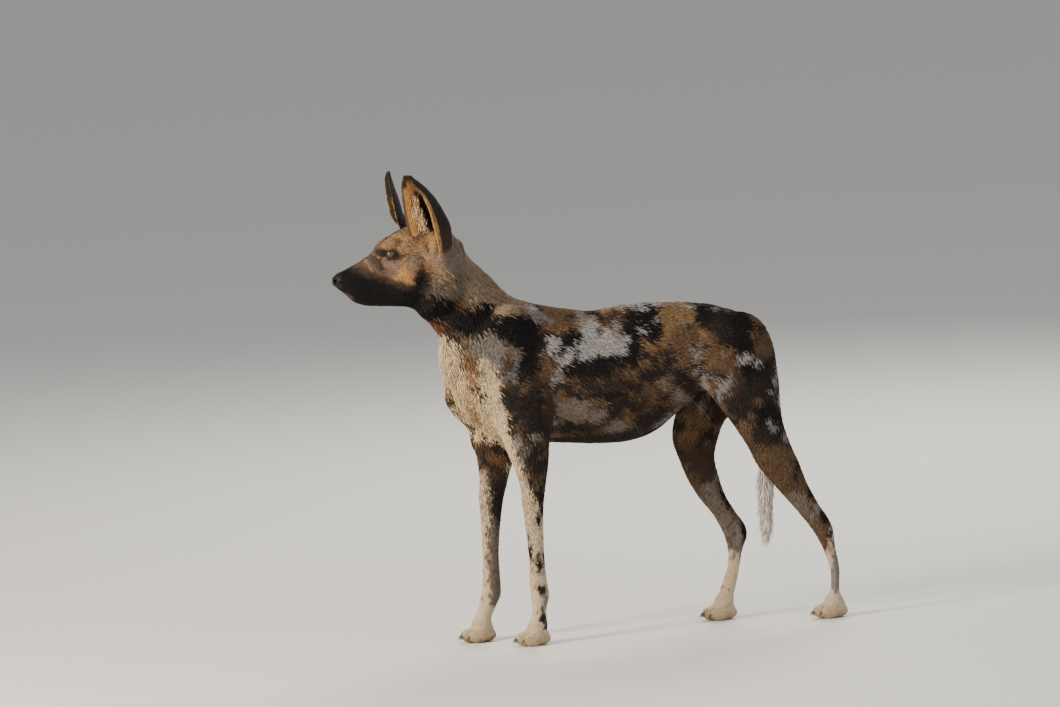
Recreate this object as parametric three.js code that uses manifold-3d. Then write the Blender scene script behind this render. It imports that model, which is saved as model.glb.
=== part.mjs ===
// African wild dog, standing at its size in life. Millimetres, +Z up, the nose towards -X and the left side
// towards -Y, with the paws on Z = 0. The body is a smooth union of lofts and ellipsoids. Each named piece is
// that form, sampled along rays round an axis of its own and parted from its neighbours with thin cuts.

import * as THREE from 'three';
import { mergeVertices } from 'three/addons/utils/BufferGeometryUtils.js';
import Module from 'manifold-3d';

const wasm = await Module();
wasm.setup();

// Driving sizes
const GAP = 0.3; // between neighbours
const EYE_RADIUS = 11;
const EYE = { x: -246, y: 32.5, z: 817 };
const EYE_LAT_SEGMENTS = 7;
const EYE_LONG_SEGMENTS = 12;
const EAR_THICKNESS = 5;
const EAR_RINGS = 9;
const EAR_COLUMNS = 9;
const CLAW = { length: 17, radius: 3.4, rings: 3, sides: 6, drop: 26 };
const FAR_AWAY = 60; // how far beyond its surface a mass still counts
const LEFT = -1;
const RIGHT = 1;

const DEGREE = Math.PI / 180;
const clamp = (value, low, high) => Math.min(Math.max(value, low), high);
const mix = (a, b, t) => a + (b - a) * t;

/** From 0 to 1 as t does, level at both ends. */
function smoothStep(t) {
  const held = clamp(t, 0, 1);
  return held * held * (3 - 2 * held);
}

// Form: masses and their smooth union

/** Rows of numbers, led by a place along the axis, read between the rows along smooth curves. */
function smoothRows(rows) {
  const slopes = rows.slice(1).map((row, i) => row.map((v, k) => (v - rows[i][k]) / (row[0] - rows[i][0])));
  const tangent = (i, k) => {
    if (i === 0) return slopes[0][k];
    if (i === rows.length - 1) return slopes[i - 1][k];
    const before = rows[i][0] - rows[i - 1][0];
    const after = rows[i + 1][0] - rows[i][0];
    return (slopes[i - 1][k] * before + slopes[i][k] * after) / (before + after);
  };
  const tangents = rows.map((row, i) => row.map((v, k) => tangent(i, k)));
  return (place) => {
    const at = clamp(place, rows[0][0], rows[rows.length - 1][0]);
    let i = 0;
    while (i < rows.length - 2 && at > rows[i + 1][0]) i += 1;
    const span = rows[i + 1][0] - rows[i][0];
    const t = (at - rows[i][0]) / span;
    const a = (1 + 2 * t) * (1 - t) * (1 - t);
    const b = t * (1 - t) * (1 - t) * span;
    const c = t * t * (3 - 2 * t);
    const d = t * t * (t - 1) * span;
    return rows[i].map((v, k) => a * v + b * tangents[i][k] + c * rows[i + 1][k] + d * tangents[i + 1][k]);
  };
}

/**
 * A loft on a straight axis. Each section is [place, plus, minus, half width, side, egg, power]: it runs from
 * minus to plus along `up`, and half a width each way of `side`. egg widens its plus end, and power squares it.
 */
function loft(origin, axis, up, sections, cap) {
  const a = new THREE.Vector3(...axis).normalize();
  const v = new THREE.Vector3(...up);
  v.addScaledVector(a, -v.dot(a)).normalize();
  const u = new THREE.Vector3().crossVectors(v, a);
  const rows = sections.map(([s, plus, minus, half, side = 0, egg = 0, power = 2]) =>
    [s, plus, minus, half, side, egg, power]);
  const read = smoothRows(rows);
  const first = rows[0][0];
  const last = rows[rows.length - 1][0];
  const q = new THREE.Vector3();
  return (x, y, z) => {
    q.set(x - origin[0], y - origin[1], z - origin[2]);
    const s = q.dot(a);
    if (s < first - FAR_AWAY * 2 || s > last + FAR_AWAY * 2) return FAR_AWAY * 2;
    const [, plus, minus, half, side, egg, power] = read(s);
    const deep = Math.max((plus - minus) / 2, 0.5);
    const dv = q.dot(v) - (plus + minus) / 2;
    const du = q.dot(u) - side;
    const over = s - clamp(s, first, last);
    const wide = Math.max(half * (1 + egg * clamp(dv / deep, -1, 1)), 0.5);
    const flat = (Math.abs(dv / deep) ** power + Math.abs(du / wide) ** power) ** (1 / power);
    const ratio = Math.hypot(flat, over / cap);
    const reach = Math.hypot(dv, du, over);
    return (ratio < 1e-3 ? Math.min(deep, wide) : reach / ratio) * (ratio - 1);
  };
}

/** Upright sections across X: [x, top, bottom, half width, side, egg, power]. */
function alongX(sections, cap) {
  return loft([0, 0, 0], [1, 0, 0], [0, 0, 1], sections, cap);
}

/** Level sections: [z, front, back, half width, side], where front and back are places along X. */
function alongZ(sections, cap) {
  const rows = sections.map(([z, front, back, ...rest]) => [z, -front, -back, ...rest]);
  return loft([0, 0, 0], [0, 0, 1], [-1, 0, 0], rows, cap);
}

/** An ellipsoid turned by pitch, which lowers its +X end, and then by yaw about Z, in degrees. */
function ball(centre, radii, pitch = 0, yaw = 0) {
  const turn = new THREE.Matrix4().makeRotationZ(yaw * DEGREE);
  turn.multiply(new THREE.Matrix4().makeRotationY(pitch * DEGREE)).invert();
  const q = new THREE.Vector3();
  return (x, y, z) => {
    q.set(x - centre[0], y - centre[1], z - centre[2]).applyMatrix4(turn);
    const reach = q.length();
    const ratio = Math.hypot(q.x / radii[0], q.y / radii[1], q.z / radii[2]);
    return (ratio < 1e-3 ? Math.min(...radii) : reach / ratio) * (ratio - 1);
  };
}

function smoothMin(a, b, width) {
  const h = Math.max(width - Math.abs(a - b), 0) / width;
  return Math.min(a, b) - h * h * width * 0.25;
}

/** Masses are [form, blend width] pairs. */
function blend(masses, x, y, z, start = Infinity) {
  let value = start;
  for (const [form, width] of masses) {
    const own = form(x, y, z);
    value = value === Infinity ? own : smoothMin(value, own, width);
  }
  return value;
}

// The masses of the body

const trunkMasses = [
  [alongX([
    [-126, 640, 548, 44],
    [-88, 672, 455, 66],
    [-40, 688, 412, 77, 0, 0.08],
    [37, 694, 403, 81, 0, 0.06],
    [100, 681, 396, 84, 0, 0.04],
    [168, 669, 389, 86],
    [232, 675, 389, 82],
    [285, 676, 404, 74],
    [335, 673, 438, 68],
    [385, 668, 474, 66],
    [435, 657, 488, 64],
    [478, 633, 505, 55],
    [503, 606, 525, 42],
  ], 22), 30],
  [ball([-84, 0, 556], [56, 50, 96], -13), 30],
];

const neckMasses = [
  [loft([-170, 0, 775], [145, 0, -190], [0.8, 0, 0.6], [
    [-25, 82, -66, 50],
    [30, 92, -78, 56],
    [80, 96, -72, 60],
    [130, 99, -73, 65],
    [180, 107, -86, 70],
    [235, 112, -96, 72],
  ], 40), 34],
];

const headMasses = [
  [alongX([
    [-288, 811, 742, 27],
    [-268, 833, 732, 38],
    [-245, 850, 724, 46, 0, -0.08],
    [-215, 865, 716, 53, 0, -0.05],
    [-180, 875, 710, 57],
    [-150, 872, 714, 57],
    [-120, 856, 738, 49],
    [-104, 838, 762, 37],
  ], 14), 20],
  [alongX([
    [-360, 779, 757, 10],
    [-352, 785, 750, 17],
    [-338, 790, 738, 23.5, 0, 0, 2.2],
    [-322, 797, 722, 28, 0, 0, 2.3],
    [-300, 806, 713, 31, 0, 0, 2.3],
    [-278, 811, 710, 35, 0, 0, 2.2],
    [-255, 816, 708, 41],
    [-225, 822, 706, 49],
    [-198, 822, 708, 48],
    [-176, 820, 717, 42],
    [-158, 812, 732, 34],
  ], 5), 16],
];

const cheekMasses = (side) => [
  [ball([-198, side * 44, 768], [50, 27, 44], -18, side * 8), 24],
  [ball([-226, side * 44, 796], [34, 12, 13], -12, side * 26), 16],
  [ball([-248, side * 27, 834], [22, 12, 10], -28, side * 20), 16],
  [ball([-150, side * 44, 748], [40, 26, 58], 20), 26],
  [ball([-152, side * 50, 822], [32, 21, 38], 12, side * 20), 18],
];

const shoulderMasses = (side, shift) => [
  [ball([-38 + shift, side * 54, 596], [48, 29, 104], 27), 34],
  [ball([-32 + shift, side * 67, 478], [74, 25, 42], 39), 30],
  [ball([20 + shift, side * 66, 492], [38, 24, 76], -8), 30],
];

const haunchMasses = (side, shift) => [
  [ball([452 + shift, side * 45, 548], [78, 33, 98], 12), 34],
];

const coreMasses = [
  ...trunkMasses,
  ...neckMasses,
  ...headMasses,
  ...cheekMasses(LEFT),
  ...cheekMasses(RIGHT),
];

/** Four toes, the two middle ones ahead, round a broad pad. */
const TOES = [[-13, -20], [-25, -7.5], [-25, 7.5], [-13, 20]]; // place ahead of the paw's middle, and to its side
const TOE = { rise: 13, length: 19, width: 8.4, height: 15 };

function pawMasses(foot) {
  const { x, y, width } = foot;
  const toes = TOES.flatMap(([ahead, aside]) => [
    [ball([x + ahead, y + aside * width, TOE.rise], [TOE.length, TOE.width * width, TOE.height], 8), 5],
    [ball([x + ahead + 11, y + aside * width * 0.9, 22], [13, 8 * width, 10], 30), 6],
  ]);
  return [
    [ball([x + 4, y, 13], [26, 23 * width, 16]), 9],
    [ball([x + 2, y, 30], [22, 18 * width, 20], 25), 12],
    ...toes,
  ];
}

/** Each leg is one loft of level sections, [z, front, back, half width, side], with its paw and its muscles. */
const LEGS = {
  leg_front_left: {
    side: LEFT,
    foot: { x: 0, y: -62, width: 1 },
    muscles: shoulderMasses(LEFT, 0),
    sections: [
      [46, -14, 26, 19, -62],
      [72, -8, 27, 16, -62],
      [99, -9, 34, 18, -62],
      [131, -10, 31, 18.5, -62.5],
      [172, -8, 29, 16, -63],
      [213, -10, 29, 16.5, -64],
      [254, -13, 30, 18, -65],
      [295, -16, 34, 20, -66],
      [336, -20, 41, 22, -68],
      [371, -31, 47, 25, -70],
      [413, -46, 50, 28, -72],
      [460, -52, 48, 27, -68],
      [505, -44, 40, 20, -58],
    ],
  },
  leg_front_right: {
    side: RIGHT,
    foot: { x: -86, y: 60, width: 1 },
    muscles: shoulderMasses(RIGHT, -34),
    sections: [
      [40, -106, -66, 19, 60],
      [66, -94, -53, 17, 60],
      [94, -85, -39, 18, 60],
      [125, -80, -38, 18.5, 60],
      [166, -77, -38, 16, 61],
      [206, -76, -35, 16.5, 62],
      [247, -76, -29, 18, 63],
      [288, -76, -21, 20, 64],
      [335, -72, -6, 23, 66],
      [380, -75, 10, 26, 68],
      [411, -84, 15, 28, 70],
      [460, -84, 14, 27, 68],
      [505, -76, 6, 20, 58],
    ],
  },
  leg_hind_left: {
    side: LEFT,
    foot: { x: 628, y: -60, width: 0.92 },
    muscles: haunchMasses(LEFT, 6),
    sections: [
      [40, 619, 645, 15, -60],
      [68, 621, 647, 13.5, -60],
      [100, 621, 649, 13, -60],
      [144, 608, 643, 14, -60],
      [170, 596, 641, 15, -60],
      [189, 585, 638, 15, -60],
      [211, 570, 628, 16, -60],
      [234, 552, 613, 18, -62],
      [280, 515, 590, 22, -64],
      [325, 481, 574, 25, -66],
      [371, 459, 556, 28, -66],
      [416, 433, 545, 31, -64],
      [460, 406, 543, 33, -60],
      [505, 398, 543, 33, -54],
      [560, 402, 530, 27, -46],
      [600, 420, 505, 18, -40],
    ],
  },
  leg_hind_right: {
    side: RIGHT,
    foot: { x: 424, y: 58, width: 0.92 },
    muscles: haunchMasses(RIGHT, -6),
    sections: [
      [46, 410, 452, 16, 58],
      [80, 424, 462, 14.5, 58],
      [109, 435, 469, 13.5, 58],
      [139, 438, 476, 14, 58],
      [168, 433, 487, 15.5, 58],
      [190, 425, 485, 16, 58],
      [221, 409, 466, 17, 59],
      [254, 385, 448, 20, 60],
      [295, 363, 436, 24, 62],
      [338, 348, 430, 28, 64],
      [378, 337, 441, 30, 64],
      [412, 340, 458, 32, 62],
      [450, 352, 500, 33, 58],
      [505, 376, 530, 32, 54],
      [560, 396, 522, 27, 46],
      [600, 415, 500, 18, 40],
    ],
  },
};

const LEG_CAP = 18;
const LEG_BLEND = 26;

const tailMasses = [
  [alongZ([
    [172, 504, 514, 6],
    [185, 499, 521, 11],
    [205, 496, 526, 15],
    [268, 495, 533, 18],
    [335, 500, 545, 20],
    [400, 512, 553, 19],
    [470, 520, 557, 18],
    [520, 517, 553, 18],
    [560, 500, 540, 20],
    [600, 472, 513, 22],
  ], 8), 24],
];

for (const leg of Object.values(LEGS)) {
  leg.masses = [...leg.muscles, [alongZ(leg.sections, LEG_CAP), LEG_BLEND], ...pawMasses(leg.foot)];
}

const core = (x, y, z) => blend(coreMasses, x, y, z);
const withLimb = (masses) => (x, y, z) => blend(masses, x, y, z, core(x, y, z));
const tailForm = withLimb(tailMasses);

/** The trunk has the muscles of each limb, but not the limb below them. */
const trunkForm = withLimb(Object.values(LEGS).flatMap((leg) => leg.muscles));

// Sampling a form into a closed mesh

const MARCH = { least: 1.2, share: 0.6, halvings: 14 };
const TIP_REACH = 20; // the furthest that a tip is looked for

/** How far along a ray from inside the form its surface lies, up to a limit. */
function reachOf(form, from, direction, limit, grow) {
  const value = (t) => form(from.x + direction.x * t, from.y + direction.y * t, from.z + direction.z * t) - grow;
  let low = 0;
  let high = 0;
  let here = value(0);
  while (here < 0 && high < limit) {
    low = high;
    high += Math.max(-here * MARCH.share, MARCH.least);
    here = value(high);
  }
  if (here < 0) return limit;
  for (let i = 0; i < MARCH.halvings; i += 1) {
    const middle = (low + high) / 2;
    if (value(middle) < 0) low = middle;
    else high = middle;
  }
  return Math.min(low, limit);
}

/** The same from outside inwards, which takes in the spaces between toes. */
function outerReachOf(form, from, direction, limit, grow) {
  const value = (t) => form(from.x + direction.x * t, from.y + direction.y * t, from.z + direction.z * t) - grow;
  let t = limit;
  while (t > 0 && value(t) > 0) t -= MARCH.least;
  return Math.max(t, 1);
}

/**
 * Rings of rays round a line of centres. plan gives its stops as {centre, across, up, along}, the number of
 * rays, the longest reach, and which ends are closed on the form itself by a tip.
 */
function sample(form, plan, grow = 0) {
  const { stops, rays, limit } = plan;
  const positions = [];
  const index = [];
  const direction = new THREE.Vector3();
  const push = (point) => positions.push(point.x, point.y, point.z) / 3 - 1;
  const point = new THREE.Vector3();
  for (const stop of stops) {
    const find = stop.outer ? outerReachOf : reachOf;
    for (let k = 0; k < rays; k += 1) {
      const angle = (k / rays) * Math.PI * 2;
      direction.copy(stop.across).multiplyScalar(Math.cos(angle)).addScaledVector(stop.up, Math.sin(angle));
      const reach = find(form, stop.centre, direction, stop.limit ?? limit, grow);
      push(point.copy(stop.centre).addScaledVector(direction, Math.max(reach, 0.5)));
    }
  }
  for (let r = 0; r < stops.length - 1; r += 1) {
    for (let k = 0; k < rays; k += 1) {
      const next = (k + 1) % rays;
      const [a, b, c, d] = [r * rays + k, r * rays + next, (r + 1) * rays + next, (r + 1) * rays + k];
      index.push(a, b, c, a, c, d);
    }
  }
  const close = (r, sign, tipped) => {
    const stop = stops[r];
    direction.copy(stop.along).multiplyScalar(sign);
    const reach = tipped ? reachOf(form, stop.centre, direction, TIP_REACH, grow) : 0;
    const tip = push(point.copy(stop.centre).addScaledVector(direction, reach));
    for (let k = 0; k < rays; k += 1) {
      const next = (k + 1) % rays;
      if (sign < 0) index.push(tip, r * rays + next, r * rays + k);
      else index.push(tip, r * rays + k, r * rays + next);
    }
  };
  close(0, -1, plan.startTip);
  close(stops.length - 1, 1, plan.endTip);
  const geometry = new THREE.BufferGeometry();
  geometry.setAttribute('position', new THREE.Float32BufferAttribute(positions, 3));
  geometry.setIndex(index);
  return toSolid(geometry);
}

/** Places from start to end, closer together at the ends that ease asks for. */
function places(start, end, count, ease = (t) => t) {
  return Array.from({ length: count }, (v, i) => mix(start, end, ease(i / (count - 1))));
}

const closeAtEnd = (t) => Math.sin(t * Math.PI / 2);
const closeAtBoth = (t) => (1 - Math.cos(t * Math.PI)) / 2;

// Solids

function toSolid(source) {
  const bare = source.clone();
  bare.deleteAttribute('normal');
  bare.deleteAttribute('uv');
  const geometry = mergeVertices(bare, 1e-4);
  const vertProperties = new Float32Array(geometry.attributes.position.array);
  const triVerts = new Uint32Array(geometry.index.array);
  return new wasm.Manifold(new wasm.Mesh({ numProp: 3, vertProperties, triVerts }));
}

function toGeometry(solid) {
  const mesh = solid.getMesh();
  const count = mesh.vertProperties.length / mesh.numProp;
  const positions = new Float32Array(count * 3);
  for (let i = 0; i < count; i += 1) {
    for (let k = 0; k < 3; k += 1) positions[i * 3 + k] = mesh.vertProperties[i * mesh.numProp + k];
  }
  const geometry = new THREE.BufferGeometry();
  geometry.setAttribute('position', new THREE.BufferAttribute(positions, 3));
  geometry.setIndex(new THREE.BufferAttribute(new Uint32Array(mesh.triVerts), 1));
  return geometry;
}

/** The largest connected piece, without the crumbs that a cut can leave. */
function largest(solid) {
  const pieces = solid.decompose();
  pieces.sort((a, b) => b.volume() - a.volume());
  return pieces[0];
}

const CUT_SIZE = 1400;

/** The half of space ahead of a slanted plane, as a large box. `gap` draws its face back. */
function halfSpace(point, normal, gap) {
  const box = new THREE.BoxGeometry(CUT_SIZE, CUT_SIZE, CUT_SIZE);
  box.translate(0, 0, CUT_SIZE / 2 + gap);
  const ahead = new THREE.Vector3(...normal).normalize();
  box.applyQuaternion(new THREE.Quaternion().setFromUnitVectors(new THREE.Vector3(0, 0, 1), ahead));
  box.translate(...point);
  return toSolid(box);
}

const CORNER_GROWTH = 1.3; // how much further a corner moves than the edges beside it

/** A side-on outline in X and Z, pushed across from one place along Y to another. */
function sideOn(outline, yLow, yHigh, grow) {
  const middle = outline.reduce((sum, [x, z]) => [sum[0] + x / outline.length, sum[1] + z / outline.length], [0, 0]);
  const shape = new THREE.Shape(outline.map(([x, z]) => {
    const out = new THREE.Vector2(x - middle[0], z - middle[1]);
    const length = out.length();
    return new THREE.Vector2(x, z).addScaledVector(out, grow * CORNER_GROWTH / length);
  }));
  const slab = new THREE.ExtrudeGeometry(shape, { depth: yHigh - yLow + 2 * grow, bevelEnabled: false });
  slab.rotateX(Math.PI / 2);
  slab.translate(0, yHigh + grow, 0);
  return toSolid(slab);
}

/** An outline that arches over the top of a limb, and runs straight down past the floor. */
function archOutline(front, back, spring, top, lowFront, lowBack) {
  const steps = 12;
  const outline = [];
  for (let i = 0; i <= steps; i += 1) {
    const angle = Math.PI * (1 - i / steps);
    const x = (front + back) / 2 + Math.cos(angle) * (back - front) / 2;
    outline.push([x, spring + Math.sin(angle) * (top - spring)]);
  }
  outline.push([lowBack, -40], [lowFront, -40]);
  return outline;
}

// Rings for each part

const X_AXIS = new THREE.Vector3(1, 0, 0);
const Y_AXIS = new THREE.Vector3(0, 1, 0);
const Z_AXIS = new THREE.Vector3(0, 0, 1);

const NECK_START = new THREE.Vector3(-170, 0, 775);

const acrossX = (x, z) => ({ centre: new THREE.Vector3(x, 0, z), across: Y_AXIS, up: Z_AXIS, along: X_AXIS });

const HEAD_LINE = smoothRows([[-364, 767], [-340, 762], [-300, 760], [-250, 778], [-200, 795], [-95, 812]]);
const TRUNK_LINE = smoothRows([[-150, 598], [-90, 565], [0, 548], [200, 530], [350, 560], [450, 570], [520, 568]]);

const headPlan = {
  stops: places(-362.5, -92, 24, (t) => t ** 1.3).map((x) => acrossX(x, HEAD_LINE(x)[1])),
  rays: 26,
  limit: 112,
  startTip: true,
};

const trunkPlan = {
  stops: places(-150, 507, 24, closeAtBoth).map((x) => acrossX(x, TRUNK_LINE(x)[1])),
  rays: 26,
  limit: 235,
  startTip: true,
  endTip: true,
};

const neckAxis = new THREE.Vector3(145, 0, -190).normalize();
const neckUp = new THREE.Vector3().crossVectors(neckAxis, Y_AXIS);
const neckPlan = {
  stops: places(-60, 230, 9).map((s) => ({
    centre: NECK_START.clone().addScaledVector(neckAxis, s),
    across: Y_AXIS,
    up: neckUp,
    along: neckAxis,
  })),
  rays: 24,
  limit: 150,
};

const levelStop = (x, y, z, more = {}) =>
  ({ centre: new THREE.Vector3(x, y, z), across: X_AXIS, up: Y_AXIS, along: Z_AXIS, ...more });

/** The middle of a leg at a level, which slides to the middle of the paw near the floor. */
function legMiddle(leg, z) {
  const [, front, back, , side] = leg.read(z);
  const t = clamp((z - 20) / 35, 0, 1);
  return [mix(leg.foot.x - 4, (front + back) / 2, t), mix(leg.foot.y, side, t)];
}

for (const leg of Object.values(LEGS)) leg.read = smoothRows(leg.sections);

const PAW_LEVELS = [0, 5, 12, 19, 26, 33, 42];
const ABOVE_PAW = 56;

function legPlan(leg, low, high, count, rays) {
  return {
    stops: places(low, high, count).map((z) => levelStop(...legMiddle(leg, z), z)),
    rays,
    limit: 120,
  };
}

function footPlan(leg, high, count, rays) {
  const levels = [...PAW_LEVELS, ...places(ABOVE_PAW, high, count)];
  return {
    stops: levels.map((z) => levelStop(...legMiddle(leg, z), z, { outer: z < 38, limit: 56 })),
    rays,
    limit: 60,
  };
}

const TAIL_LINE = smoothRows([[172, 509], [268, 514], [335, 522], [470, 538], [520, 535], [560, 520], [600, 493]]);
const tailPlan = {
  stops: places(168, 604, 15).map((z) => levelStop(TAIL_LINE(z)[1], 0, z)),
  rays: 12,
  limit: 60,
  startTip: true,
};

// Cuts

const HEAD_CUT = { point: [-100, 0, 870], normal: [0.862, 0, -0.507] };
const NECK_CUT = { point: [-79, 0, 656], normal: [0.607, 0, -0.795] };
const TAIL_OUTLINE = [[512, 606], [560, 640], [640, 600], [640, 100], [462, 100], [462, 430], [499, 520]];
const TAIL_HALF = 27;
const TAIL_SPLIT = { point: [526, 0, 352], normal: [0, 0, 1] };

const behind = (cut) => halfSpace(cut.point, cut.normal, GAP / 2);
const ahead = (cut) => halfSpace(cut.point, cut.normal.map((v) => -v), GAP / 2);

const LEG_CUTS = {
  leg_front_left: { outline: archOutline(-112, 66, 440, 548, -150, 110), inner: 34 },
  leg_front_right: { outline: archOutline(-146, 32, 440, 548, -200, 76), inner: 34 },
  leg_hind_left: { outline: archOutline(388, 566, 515, 632, 300, 720), inner: 16 },
  leg_hind_right: { outline: archOutline(362, 556, 515, 632, 200, 640), inner: 16 },
};

const LEG_OUTER = 160; // past the widest of the body

/** The space that a leg takes of the body: outward of an upright plane, within its arch. */
function legSpace(name, grow) {
  const { outline, inner } = LEG_CUTS[name];
  return LEGS[name].side === LEFT
    ? sideOn(outline, -LEG_OUTER, -inner, grow)
    : sideOn(outline, inner, LEG_OUTER, grow);
}

const LEG_SPLITS = {
  leg_front_left: [{ point: [4, 0, 392], normal: [-0.16, 0, 1] }, { point: [12, 0, 112], normal: [0, 0, 1] }],
  leg_front_right: [{ point: [-32, 0, 386], normal: [-0.16, 0, 1] }, { point: [-60, 0, 108], normal: [0, 0, 1] }],
  leg_hind_left: [{ point: [486, 0, 436], normal: [-0.45, 0, 1] }, { point: [606, 0, 214], normal: [-0.55, 0, 1] }],
  leg_hind_right: [{ point: [394, 0, 424], normal: [-0.1, 0, 1] }, { point: [454, 0, 180], normal: [-0.35, 0, 1] }],
};

// Finishes

function finish(name, color, roughness) {
  return new THREE.MeshStandardMaterial({ name, color, roughness, metalness: 0 });
}

const FINISHES = {
  coat_trunk: () => finish('coat_trunk', 0x6d543b, 0.85),
  coat_neck: () => finish('coat_neck', 0x8a7353, 0.85),
  coat_head: () => finish('coat_head', 0x9b7a50, 0.82),
  coat_ear: () => finish('coat_ear', 0x3a2c22, 0.85),
  coat_leg: () => finish('coat_leg', 0x8f8272, 0.85),
  coat_tail: () => finish('coat_tail', 0xd8d0c2, 0.85),
  eye: () => finish('eye', 0x2a1709, 0.12),
  claw: () => finish('claw', 0x2b2622, 0.4),
};

const dog = new THREE.Group();
dog.name = 'african_wild_dog';

function add(name, geometry, slot) {
  const mesh = new THREE.Mesh(geometry, FINISHES[slot]());
  mesh.name = name;
  dog.add(mesh);
}

const addSolid = (name, solid, slot) => add(name, toGeometry(largest(solid)), slot);

// Eyes

function eyeGeometry(side, grow) {
  const eye = new THREE.SphereGeometry(EYE_RADIUS + grow, EYE_LONG_SEGMENTS, EYE_LAT_SEGMENTS);
  eye.translate(EYE.x, side * EYE.y, EYE.z);
  return eye;
}

// Ears: a cupped sheet, as rows up the ear of its inner edge, its back and its outer edge, for the right side

const EAR_ROWS = smoothRows([
  // z, inner edge x and y, back x and y, outer edge x and y
  [804, -184, 40, -138, 52, -152, 70],
  [833, -198, 33, -128, 50, -158, 81],
  [866, -207, 31, -127, 46, -165, 87],
  [896, -212, 31, -139, 44, -171, 88],
  [920, -215, 35, -152, 47, -179, 88],
  [942, -217, 41, -169, 53, -189, 85],
  [959, -217, 48, -185, 58, -200, 81],
  [970, -216, 55, -198, 62, -206, 76],
  [977, -214, 61, -205, 65, -209, 71],
]);
const EAR_FOOT = 806;
const EAR_TIP = 976.5;
const EAR_THINNING = 0.25; // how much the sheet thins towards its edges

// The far ear faces forward, flatter than the near one: its turn in degrees, place ahead and depth of its cup
const EAR_POSE = {
  [LEFT]: { turn: 0, ahead: 0, depth: 1 },
  [RIGHT]: { turn: 30, ahead: 5, depth: 0.38 },
};
const EAR_POSE_FROM = 812;
const EAR_POSE_FULL = 890;

/** A point of the middle of the sheet: s up the ear, t from its inner edge round the back to its outer edge. */
function earPoint(s, t, side, target) {
  const z = mix(EAR_FOOT, EAR_TIP, s);
  const [, ix, iy, bx, by, ox, oy] = EAR_ROWS(z);
  const [px, py] = [2 * bx - (ix + ox) / 2, 2 * by - (iy + oy) / 2];
  const [a, b, c] = [(1 - t) * (1 - t), 2 * t * (1 - t), t * t];
  const dx = a * ix + b * px + c * ox - ix;
  const dy = a * iy + b * py + c * oy - iy;
  const pose = EAR_POSE[side];
  const share = smoothStep((z - EAR_POSE_FROM) / (EAR_POSE_FULL - EAR_POSE_FROM));
  const turn = pose.turn * DEGREE * share;
  const back = (dx * Math.cos(turn) - dy * Math.sin(turn)) * mix(1, pose.depth, share);
  const out = dx * Math.sin(turn) + dy * Math.cos(turn);
  return target.set(ix + back - pose.ahead * share, side * (iy + out), z);
}

function earSolid(side) {
  const outside = [];
  const inside = [];
  const [p, ds, dt, q] = [0, 1, 2, 3].map(() => new THREE.Vector3());
  for (let r = 0; r < EAR_RINGS; r += 1) {
    const s = closeAtEnd(r / (EAR_RINGS - 1));
    for (let c = 0; c < EAR_COLUMNS; c += 1) {
      const t = c / (EAR_COLUMNS - 1);
      earPoint(s, t, side, p);
      ds.subVectors(earPoint(Math.min(s + 0.01, 1), t, side, q), earPoint(Math.max(s - 0.01, 0), t, side, ds));
      dt.subVectors(earPoint(s, Math.min(t + 0.01, 1), side, q), earPoint(s, Math.max(t - 0.01, 0), side, dt));
      const out = new THREE.Vector3().crossVectors(dt, ds).normalize().multiplyScalar(side);
      const edge = Math.min(t, 1 - t, 1 - s, 0.5) * 2;
      const half = EAR_THICKNESS / 2 * (1 - EAR_THINNING * (1 - Math.min(edge * 3, 1)));
      outside.push(p.clone().addScaledVector(out, half));
      inside.push(p.clone().addScaledVector(out, -half));
    }
  }
  const points = [...outside, ...inside];
  const shift = outside.length;
  const at = (r, c, layer) => layer * shift + r * EAR_COLUMNS + c;
  const index = [];
  const quad = (a, b, c, d) => index.push(a, b, c, a, c, d);
  for (let r = 0; r < EAR_RINGS - 1; r += 1) {
    for (let c = 0; c < EAR_COLUMNS - 1; c += 1) {
      quad(at(r, c, 0), at(r, c + 1, 0), at(r + 1, c + 1, 0), at(r + 1, c, 0));
      quad(at(r, c, 1), at(r + 1, c, 1), at(r + 1, c + 1, 1), at(r, c + 1, 1));
    }
    quad(at(r, 0, 0), at(r + 1, 0, 0), at(r + 1, 0, 1), at(r, 0, 1));
    const last = EAR_COLUMNS - 1;
    quad(at(r, last, 0), at(r, last, 1), at(r + 1, last, 1), at(r + 1, last, 0));
  }
  for (let c = 0; c < EAR_COLUMNS - 1; c += 1) {
    const top = EAR_RINGS - 1;
    quad(at(0, c, 0), at(0, c, 1), at(0, c + 1, 1), at(0, c + 1, 0));
    quad(at(top, c, 0), at(top, c + 1, 0), at(top, c + 1, 1), at(top, c, 1));
  }
  if (side === LEFT) {
    for (let i = 0; i < index.length; i += 3) [index[i + 1], index[i + 2]] = [index[i + 2], index[i + 1]];
  }
  const geometry = new THREE.BufferGeometry();
  geometry.setAttribute('position', new THREE.Float32BufferAttribute(points.flatMap((v) => [v.x, v.y, v.z]), 3));
  geometry.setIndex(index);
  return toSolid(geometry);
}

// Claws: a bent cone from inside each toe, forward and down

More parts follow.
